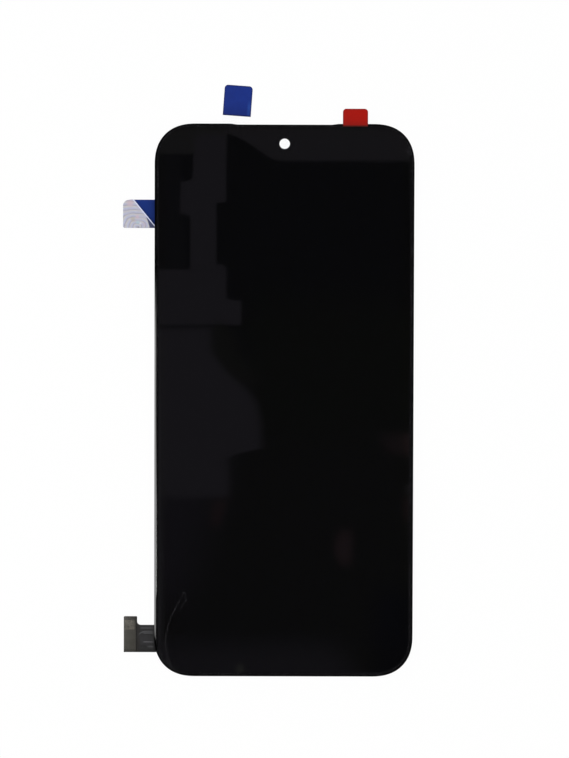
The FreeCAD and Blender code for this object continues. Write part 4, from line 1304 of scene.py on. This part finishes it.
@dataclass
class SideTab:
    """The blue strip folded back over itself: a silvery flap whose slanting free edge stands up a little."""

    low: float = 46.04
    high: float = 53.57
    start: float = -33.25
    outer: float = -43.05
    back: float = 0.10
    thickness: float = 0.08
    fold_radius: float = 0.12
    fold_steps: int = 8
    fold_reach: float = 2.5
    lift: float = 3.2
    flap_length: float = 9.05
    flap_short: float = 2.9
    highlight_width: float = 0.26
    upper_corner: Pair = (2.0, 1.5)
    lower_corner: Pair = (0.5, 0.5)
    steps: int = 7

    def build(self, finishes: Finishes) -> bpy.types.Object:
        """Model and dress the folded tab.

        Args:
            finishes: The assembly's materials.

        Returns:
            The tab.
        """
        turn_x = self.outer + self.fold_radius + self.thickness / 2
        middle = ((turn_x + self.start) / 2, (self.low + self.high) / 2, self.back)
        model = Modeller("SidePullTab", middle, (self.start - turn_x, self.high - self.low))
        for size, edge, sign in self.corners():
            for step in range(1, self.steps + 1):
                model.everything()
                model.cut((0, edge + sign * size[1] * step / self.steps, 0), (0, 1, 0))
        model.everything()
        model.cut((turn_x + self.fold_reach, 0, 0), (1, 0, 0))
        self.fold_back(model, turn_x)
        flap_level = self.back + 1.6 * self.fold_radius
        self.slant(model, flap_level, 0.0, True)
        self.slant(model, flap_level, self.highlight_width, False)
        self.round_fold(model, turn_x)
        model.modifier("SOLIDIFY", thickness=self.thickness * MM, offset=0.0)
        layers = [finishes.side_blue, finishes.silver, finishes.edge_highlight]
        piece = model.finish(layers, "blue_tab", "side_pull_tab", 40.0)
        self.paint(piece, flap_level)
        return piece

    def corners(self) -> tuple[tuple[Pair, float, int], ...]:
        """Each of the fold's corners: its size, the edge that it starts from, and the way inwards along Y."""
        return (self.lower_corner, self.low, 1), (self.upper_corner, self.high, -1)

    def fold_back(self, model: Modeller, turn_x: float) -> None:
        """Draw the strip round the fold and back over itself.

        Args:
            model: The strip's flat lower part.
            turn_x: Where the fold starts along X, in millimetres.
        """
        model.pick(Kind.EDGE, lambda at, way: at.x < turn_x + 0.01)
        angle = math.radians(180 + self.lift) / self.fold_steps
        centre = Vector((turn_x, 0, self.back + self.fold_radius))
        spot = Vector((turn_x, 0, self.back))
        for step in range(1, self.fold_steps + 1):
            turned = Matrix.Rotation(angle * step, 3, "Y") @ Vector((0, 0, -self.fold_radius)) + centre
            model.draw_out(turned.x - spot.x, 0, turned.z - spot.z)
            spot = turned
        lift = math.radians(self.lift)
        for run in (self.fold_reach, self.flap_length - self.fold_reach):
            model.draw_out(run * math.cos(lift), 0, run * math.sin(lift))

    def slant_line(self) -> tuple[Vector, Vector]:
        """Find the flap's free edge.

        Returns:
            A point on the edge and its outward plan direction.
        """
        first = Vector((self.outer + self.flap_short, self.high))
        last = Vector((self.outer + self.flap_length, self.low))
        along = (last - first).normalized()
        return first, Vector((-along.y, along.x))

    def slant(self, model: Modeller, level: float, inside: float, drop: bool) -> None:
        """Cut the flap along a line beside its free edge.

        Args:
            model: The folded strip.
            level: The height above which the faces are the flap's.
            inside: How far inside the free edge the line is.
            drop: Whether what lies past the line is taken off.
        """
        first, out = self.slant_line()
        point = first - out * inside
        model.pick(Kind.FACE, lambda at, normal: at.z > level)
        model.cut((point.x, point.y, 0), (out.x, out.y, 0), drop)

    def round_fold(self, model: Modeller, turn_x: float) -> None:
        """Draw the fold's two corners in.

        Args:
            model: The folded strip.
            turn_x: Where the fold starts along X, in millimetres.
        """
        for size, edge, sign in self.corners():
            for step in range(self.steps):
                level = edge + sign * size[1] * step / self.steps
                share = 1 - step / self.steps
                shift = size[0] * (1 - math.sqrt(max(0.0, 1 - share * share)))
                model.pick(Kind.VERTEX, lambda at, normal: at.x < turn_x + 0.05 and abs(at.y - level) < 0.001)
                model.move(x=shift)

    def paint(self, piece: bpy.types.Object, level: float) -> None:
        """Give the flap's upper face the silver and its free edge the painted highlight.

        Args:
            piece: The finished tab.
            level: The height above which the faces are the flap's.
        """
        first, out = self.slant_line()
        for face in piece.data.polygons:
            at = face.center / MM
            past = (Vector((at.x, at.y)) - first).dot(out)
            # Faces in the strip beside the free edge take the painted highlight.
            if at.z > level and past > -self.highlight_width - 0.01:
                face.material_index = 2
            elif at.z > level and face.normal.z > 0.3:
                face.material_index = 1


@dataclass
class Stiffener:
    """The plate on the tail's end, with its textured pad."""

    left: float = -42.76
    right: float = -39.45
    low: float = -67.47
    high: float = -57.94
    back: float = 0.31
    front: float = 0.49
    corner: float = 0.19
    corner_steps: int = 8
    edge: float = 0.03
    pad_x: Pair = (-42.45, -39.85)
    pad_y: Pair = (-61.43, -58.83)
    pad_front: float = 0.55
    pad_corner: float = 0.12
    pad_corner_steps: int = 3
    pad_edge: float = 0.02
    glue: float = 0.002

    def build(self, finishes: Finishes) -> list[bpy.types.Object]:
        """Model and dress the plate and its pad.

        Args:
            finishes: The assembly's materials.

        Returns:
            The plate and the pad.
        """
        middle = ((self.left + self.right) / 2, (self.low + self.high) / 2, self.back + self.glue)
        model = Modeller("Stiffener", middle, (self.right - self.left, self.high - self.low))
        model.pick(Kind.VERTEX, lambda at, normal: at.y > self.high - 0.01)
        model.round_corners(self.corner, self.corner_steps)
        model.thicken(self.front - self.back - self.glue)
        model.soften_edges(self.front, self.edge)
        plate = model.finish([finishes.stiffener], "stiffener", "connector_stiffener")
        return [plate, self.pad(finishes)]

    def pad(self, finishes: Finishes) -> bpy.types.Object:
        """Model and dress the textured pad.

        Args:
            finishes: The assembly's materials.

        Returns:
            The pad.
        """
        middle = (sum(self.pad_x) / 2, sum(self.pad_y) / 2, self.front + self.glue)
        model = Modeller("TexturedPad", middle, (self.pad_x[1] - self.pad_x[0], self.pad_y[1] - self.pad_y[0]))
        model.pick(Kind.VERTEX, lambda at, normal: True)
        model.round_corners(self.pad_corner, self.pad_corner_steps)
        model.thicken(self.pad_front - self.front - self.glue)
        model.soften_edges(self.pad_front, self.pad_edge)
        return model.finish([finishes.pad], "textured_pad", "connector_pad")


@dataclass
class Viewpoint:
    """The photograph's camera, in millimetres and degrees in the object's frame."""

    pitch: float = 1.0947
    yaw: float = 0.0959
    roll: float = -0.1625
    offset: Pair = (0.1408, 5.8587)
    distance: float = 400.0
    level: float = 1.9
    lens: float = 71.338
    sensor: float = 36.0

    def turned(self) -> Matrix:
        """Find the camera's rotation.

        Returns:
            The rotation from the camera's frame to the object's.
        """
        roll = Matrix.Rotation(math.radians(self.roll), 3, "Z")
        pitch = Matrix.Rotation(math.radians(self.pitch), 3, "X")
        yaw = Matrix.Rotation(math.radians(self.yaw), 3, "Y")
        return (roll @ pitch @ yaw).transposed()

    def place(self) -> Vector:
        """The camera's place in millimetres."""
        return self.turned() @ Vector((*self.offset, self.distance)) + Vector((0, 0, self.level))

    def build(self) -> bpy.types.Object:
        """Make the camera and set it as the scene's.

        Returns:
            The camera.
        """
        data = bpy.data.cameras.new("Camera")
        data.lens = self.lens
        data.sensor_width = self.sensor
        data.clip_start, data.clip_end = 0.01, 10.0
        camera = bpy.data.objects.new("Camera", data)
        bpy.context.scene.collection.objects.link(camera)
        camera.matrix_world = Matrix.Translation(self.place() * MM) @ self.turned().to_4x4()
        bpy.context.scene.camera = camera
        return camera


@dataclass(frozen=True)
class Glow:
    """A soft-edged patch of light on the ceiling card, placed by where the flat glass mirrors it, in millimetres.

    Its outline is a list of rows from top to bottom, each with a level along Y and its left and right ends.
    """

    rows: tuple[Triple, ...]
    colour: Colour
    soft: float
    ends: float

    def share(self, x: float, y: float) -> float:
        """Say how strongly the patch glows at a place.

        Args:
            x: The place along X.
            y: The place along Y.

        Returns:
            The share, from 0 to 1.
        """
        top, bottom = self.rows[0][0], self.rows[-1][0]
        if not bottom - self.ends < y < top + self.ends:
            return 0.0
        held = min(max(y, bottom), top)
        for upper, lower in zip(self.rows, self.rows[1:]):
            if upper[0] >= held >= lower[0]:
                part = (upper[0] - held) / max(upper[0] - lower[0], 1e-6)
                left, right = (upper[i] + (lower[i] - upper[i]) * part for i in (1, 2))
                break
        share = 1.0
        sides = ((x - left, self.soft), (right - x, self.soft), (top - y, self.ends), (y - bottom, self.ends))
        for past, soft in sides:
            rise = min(max(past / soft + 0.5, 0.0), 1.0)
            share *= rise * rise * (3 - 2 * rise)
        return share


@dataclass(frozen=True)
class SidePanel:
    """A soft panel to the left of the ceiling card, which the curved rim mirrors, in millimetres.

    It glows more and more over a run away from the object, fades out towards both ends, and lower down comes nearer.
    """

    across: Pair = (68.0, 205.0)
    along: Pair = (-105.0, 46.0)
    strength: float = 6.1
    run: Pair = (92.0, 112.0)
    upper_end: Pair = (44.5, 13.0)
    lower_end: Pair = (-94.0, -82.0)
    nearer: float = 21.0
    nearer_from: Pair = (-2.0, -58.0)
    nearer_until: Pair = (-74.0, -68.0)

    def glow(self, recipe: Recipe) -> Socket:
        """Lay out the panel's strength.

        Args:
            recipe: The panel's material in the making.

        Returns:
            The strength at each place.
        """
        where = recipe.centred()
        out, y = recipe.maths("MULTIPLY", recipe.axis(where, "X"), -1.0), recipe.axis(where, "Y")
        lower = recipe.maths("MULTIPLY", recipe.span(y, *self.nearer_from), recipe.span(y, *self.nearer_until))
        across = recipe.span(recipe.maths("ADD", out, recipe.maths("MULTIPLY", lower, self.nearer)), *self.run)
        ends = recipe.maths("MULTIPLY", recipe.span(y, *self.upper_end), recipe.span(y, *self.lower_end))
        return recipe.maths("MULTIPLY", recipe.maths("MULTIPLY", across, ends), self.strength)


@dataclass
class Studio:
    """The floor, the world, the lamps, and the dark ceiling, card and panel that the glass mirrors."""

    floor_size: float = 6000.0
    floor_level: float = -0.592
    floor_white: float = 0.97
    cast_level: float = 0.62
    lamp_size: float = 400.0
    lamps: tuple[tuple[str, Point, float], ...] = (
        ("LampLeft", (-420, 120, 520), 1.15), ("LampRight", (380, -160, 560), 0.75))
    card_level: float = 102.2
    glass_level: float = 2.2
    card_cell: float = 0.6
    card_half: Pair = (46.0, 98.0)
    ceiling_size: float = 700.0
    ceiling_gap: float = 2.0
    ceiling_out: Pair = (84.0, 108.0)
    ceiling_end: Pair = (132.0, 160.0)
    panel: SidePanel = SidePanel()
    base_glow: Colour = (0.036, 0.036, 0.040)
    near_glow: Colour = (0.088, 0.085, 0.096)
    far_glow: Colour = (0.028, 0.028, 0.030)
    glows: tuple[Glow, ...] = (
        Glow(((26.9, -9, 38.8), (18.9, -10.4, 38.8), (-15.7, -11.6, 39)), (0.044, 0.046, 0.040), 12, 16),
        Glow(((-10.5, -38.3, 39), (-26.5, -38.3, 39), (-77.5, -38.3, 39.3)), (0.048, 0.047, 0.046), 6, 22),
        Glow(((-50.5, 24, 41), (-77.5, 24, 41)), (0.034, 0.034, 0.044), 8, 10),
        Glow(((-65.1, -41, 15.2), (-77.5, -41, 20.6)), (0.094, 0.087, 0.108), 14, 10),
        Glow(((-70.4, -12.4, -10.8), (-77.5, -13.4, -9.8)), (0.20, 0.20, 0.19), 1.6, 1.6),
        Glow(((77.2, -38.3, -15.4), (65.5, -38.3, -15.4)), (0.108, 0.106, 0.108), 0.8, 1.4),
        Glow((
            (77.3, -15.8, 38.6), (70.8, -15.8, 38.6), (70.4, -13.1, 38.6), (67.5, -8, 38.6), (64.8, -4.3, 38.6),
            (63.8, -2.2, 38.6),
        ), (0.130, 0.122, 0.138), 1.0, 1.4),
        Glow(((77.5, -15.4, 30), (74, -15.4, 30)), (0.106, 0.102, 0.110), 8, 5),
        Glow(((-7.8, -41, -15.5), (-53.3, -41, -25.0)), (0.080, 0.073, 0.092), 17, 20),
        Glow(((65.1, -34.9, -27.7), (35.4, -34.9, -26.1)), (0.050, 0.049, 0.055), 1.6, 1.0),
        Glow((
            (70.8, -23.7, -15.5), (58.7, -24.5, -15.5), (58.2, -27.4, -15.5), (52.9, -27.7, -15.5),
            (52.5, -27.7, -18.1), (49.7, -27.7, -18.1), (49.2, -25, -18.1), (36.4, -25, -18.1), (35.9, -25, -15.7),
            (34.8, -25.3, -15.4),
        ), (0.134, 0.124, 0.148), 0.9, 2.2),
        Glow((
            (34.9, -41, -15.4), (27.1, -41, -15.4), (26.6, -41, -11.4), (20.2, -41, -11.4),
        ), (0.134, 0.124, 0.148), 1.4, 1.2),
        Glow((
            (19.4, -41, -17.6), (14.9, -41, -18.4), (11.7, -41, -17), (5.5, -41, -11.7), (0.2, -41, -7.6),
            (-5.7, -41, -6.2), (-12.6, -41, -6.0), (-14, -41, -12.6), (-15.8, -41, -15.2), (-20.6, -41, -14.4),
            (-23.8, -37.6, -14.4), (-25.7, -34.4, -14.6),
        ), (0.134, 0.124, 0.148), 4.0, 3.0),
        Glow((
            (21, -18.6, -16.5), (17.3, -19.4, -12.8), (13, -19.1, -12.2), (7.7, -15.4, -8.5), (4.5, -11.7, -5.8),
        ), (0.062, 0.062, 0.056), 4, 4),
        Glow(((20, -41, -33.2), (-68, -41, -32.6)), (0.195, 0.187, 0.215), 3.2, 16),
        Glow(((-8.7, 25.8, 39), (-14, 27.5, 39)), (0.096, 0.074, 0.078), 5, 4),
        Glow(((-9, 31.8, 39), (-14.4, 32.6, 39)), (0.180, 0.118, 0.122), 3, 3.5),
        Glow(((-34.6, 14.6, 18.4), (-39, 13.6, 18.2), (-43.4, 14.6, 18.2)), (0.132, 0.090, 0.098), 3.4, 4.5),
        Glow(((-26.6, -18.8, -14.9), (-33.2, -19.6, -17)), (0.116, 0.080, 0.086), 3.2, 4),
        Glow(((-25.8, 32.1, 39.8), (-31.6, 32.1, 39.8)), (0.124, 0.084, 0.090), 3, 4),
        Glow(((-22.6, 32.4, 39), (-24.2, 32.4, 39)), (0.155, 0.155, 0.165), 2.4, 1.6),
    )

    def sheet(self, name: str, size: Pair, at: Point) -> bpy.types.Object:
        """Add a flat sheet.

        Args:
            name: Its name.
            size: Its width along X and length along Y in millimetres.
            at: Its middle in millimetres.

        Returns:
            The sheet.
        """
        bpy.ops.object.select_all(action="DESELECT")
        bpy.ops.mesh.primitive_plane_add(size=1.0, location=mm(*at))
        sheet = bpy.context.object
        sheet.name = name
        sheet.scale = (size[0] * MM, size[1] * MM, 1.0)
        bpy.ops.object.transform_apply(location=True, rotation=True, scale=True)
        return sheet

    def make_floor(self) -> None:
        """Lay a wide pale floor that is white to the camera and keeps a faint shadow."""
        floor = self.sheet("Floor", (self.floor_size, self.floor_size), (0, 0, self.floor_level))
        recipe = Recipe("FloorWhite")
        pale = recipe.noise(0.002, recipe.centred(), 2.0)
        recipe.set(Base_Color=recipe.mix(pale, grey(0.97), grey(1.0)), Roughness=0.9)
        path = recipe.add("ShaderNodeLightPath")
        seen = recipe.maths("MAXIMUM", path.outputs["Is Camera Ray"], path.outputs["Is Glossy Ray"])
        seen = recipe.maths("MAXIMUM", seen, path.outputs["Is Transmission Ray"])
        white = recipe.add("ShaderNodeEmission")
        share = recipe.maths("MULTIPLY", seen, self.floor_white)
        recipe.surface(recipe.blend(share, recipe.shader.outputs[0], white.outputs[0]))
        floor.data.materials.append(recipe.material)

    def make_world(self) -> None:
        """Make a plain white surround, at a lower level for the light that it casts."""
        world = bpy.data.worlds.new("Surround")
        bpy.context.scene.world = world
        world.use_nodes = True
        nodes, links = world.node_tree.nodes, world.node_tree.links
        back = nodes["Background"]
        back.inputs["Color"].default_value = (1, 1, 1, 1)
        path = nodes.new("ShaderNodeLightPath")
        total = path.outputs["Is Camera Ray"]
        for key in ("Is Glossy Ray", "Is Transmission Ray"):
            step = nodes.new("ShaderNodeMath")
            step.operation = "MAXIMUM"
            links.new(total, step.inputs[0])
            links.new(path.outputs[key], step.inputs[1])
            total = step.outputs[0]
        level = nodes.new("ShaderNodeMapRange")
        links.new(total, level.inputs["Value"])
        level.inputs["To Min"].default_value = self.cast_level
        level.inputs["To Max"].default_value = 1.0
        links.new(level.outputs[0], back.inputs["Strength"])

    def make_lamps(self) -> None:
        """Hang two soft lamps, the left one a little stronger."""
        for name, place, power in self.lamps:
            data = bpy.data.lights.new(name, "AREA")
            data.shape = "SQUARE"
            data.size = self.lamp_size * MM
            data.energy = power
            lamp = bpy.data.objects.new(name, data)
            bpy.context.scene.collection.objects.link(lamp)
            lamp.location = mm(*place)
            lamp.rotation_euler = (-mm(*place)).to_track_quat("-Z", "Y").to_euler()
            lamp.visible_glossy = False

    def card_colour(self, eye: Vector, at: Vector) -> Colour:
        """Find the card's glow at one of its points, by where the glass mirrors it.

        Args:
            eye: The camera's place in millimetres.
            at: The point in millimetres.

        Returns:
            The glow's colour.
        """
        share = (self.card_level - self.glass_level) / (eye.z - self.glass_level)
        x, y = (at.x + share * eye.x) / (1 + share), (at.y + share * eye.y) / (1 + share)
        colour = Vector(self.base_glow)
        for glow in self.glows:
            colour = colour.lerp(Vector(glow.colour), glow.share(x, y))
        return tuple(colour)

    def make_card(self, eye: Vector) -> None:
        """Hang the ceiling card that the flat glass mirrors, with a glow for each of its points.

        Args:
            eye: The camera's place in millimetres.
        """
        cells = [round(2 * half / self.card_cell) for half in self.card_half]
        bpy.ops.object.select_all(action="DESELECT")
        bpy.ops.mesh.primitive_grid_add(x_subdivisions=cells[0], y_subdivisions=cells[1], size=1.0)
        card = bpy.context.object
        card.name = "CeilingCard"
        card.location = mm(0, 0, self.card_level)
        card.scale = (2 * self.card_half[0] * MM, 2 * self.card_half[1] * MM, 1.0)
        bpy.ops.object.transform_apply(location=True, rotation=True, scale=True)
        glow = card.data.attributes.new("glow", "FLOAT_COLOR", "POINT")
        for vertex in card.data.vertices:
            glow.data[vertex.index].color = (*self.card_colour(eye, vertex.co / MM), 1.0)
        self.light_up(card, "CeilingGlow", self.stored_glow)

    def stored_glow(self, recipe: Recipe) -> Socket:
        """Read the glow that the card's points hold."""
        return recipe.add("ShaderNodeAttribute", attribute_name="glow").outputs["Color"]

    def ceiling_tone(self, recipe: Recipe) -> Socket:
        """Lay out the ceiling's dark tone, darker far out, with slow clouds.

        Args:
            recipe: The ceiling's material in the making.

        Returns:
            The tone at each place.
        """
        where = recipe.centred()
        out = recipe.span(recipe.maths("ABSOLUTE", recipe.axis(where, "X")), *self.ceiling_out)
        end = recipe.span(recipe.maths("ABSOLUTE", recipe.axis(where, "Y")), *self.ceiling_end)
        cloud = recipe.swing(recipe.noise(0.02, where, 2.0), reach=0.15)
        near = recipe.mix(cloud, scaled(self.near_glow, 0.8), scaled(self.near_glow, 1.25))
        return recipe.mix(recipe.maths("MAXIMUM", out, end), near, self.far_glow)

    def light_up(self, card: bpy.types.Object, name: str, glow: Callable[[Recipe], Socket]) -> None:
        """Make a card glow, for mirrored and see-through rays alone.

        Args:
            card: The card.
            name: Its material's name.
            glow: Lays out the glow's colour or strength.
        """
        recipe = Recipe(name)
        light = recipe.add("ShaderNodeEmission")
        recipe.join(glow(recipe), light.inputs["Color"])
        recipe.surface(light.outputs[0])
        card.data.materials.append(recipe.material)
        for kind in ("camera", "diffuse", "shadow", "volume_scatter"):
            setattr(card, "visible_" + kind, False)

    def build(self, view: Viewpoint) -> None:
        """Make the whole stage.

        Args:
            view: The camera, which the card's glow is placed for.
        """
        self.make_floor()
        self.make_world()
        self.make_lamps()
        self.make_card(view.place())
        level = self.card_level + self.ceiling_gap
        ceiling = self.sheet("Ceiling", (self.ceiling_size, self.ceiling_size), (0, 0, level))
        self.light_up(ceiling, "CeilingTone", self.ceiling_tone)
        (near, far), (low, high) = self.panel.across, self.panel.along
        middle = (-(near + far) / 2, (low + high) / 2, self.card_level)
        panel = self.sheet("PanelLeft", (far - near, high - low), middle)
        self.light_up(panel, "PanelGlow", self.panel.glow)


def dress_nodes(finishes: Finishes) -> None:
    """Give each CAD node that stays its finish, and report it.

    Args:
        finishes: The assembly's materials.
    """
    for name, material in finishes.by_node().items():
        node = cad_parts[name]
        for slot in range(len(node.data.materials)):
            node.data.materials[slot] = material
        LOG.info("%s: dressed in %s", name, material.name)


def main() -> None:
    """Build the scene, piece by piece."""
    logging.basicConfig(level=logging.INFO, format="%(message)s")
    scene = bpy.context.scene
    scene.view_settings.view_transform = "Standard"
    view = Viewpoint()
    view.build()
    finishes = Finishes()
    dress_nodes(finishes)
    Studio().build(view)
    red_tab = PullTab(
        "RedPullTab", "red_pull_tab", "red_tab", centre=(18.62, 75.225), size=(6.65, 4.75),
        back=2.247, corner=0.9, turned=-0.10, about=(0, 0),
    )
    top_tab = PullTab(
        "TopPullTab", "top_pull_tab", "blue_tab", centre=(-12.52, 79.95), size=(7.48, 8.1),
        back=0.062, corner=0.95, turned=-4.1, about=(-12.52, 79.95),
    )
    made = [CoverGlass().build(finishes), FrontFilm().build(finishes)]
    made += [red_tab.build(finishes.red), top_tab.build(finishes.blue), SideTab().build(finishes)]
    made += Stiffener().build(finishes)
    for piece in made:
        LOG.info("%s: %d faces", piece.name, len(piece.data.polygons))


if __name__ == "__main__":
    main()
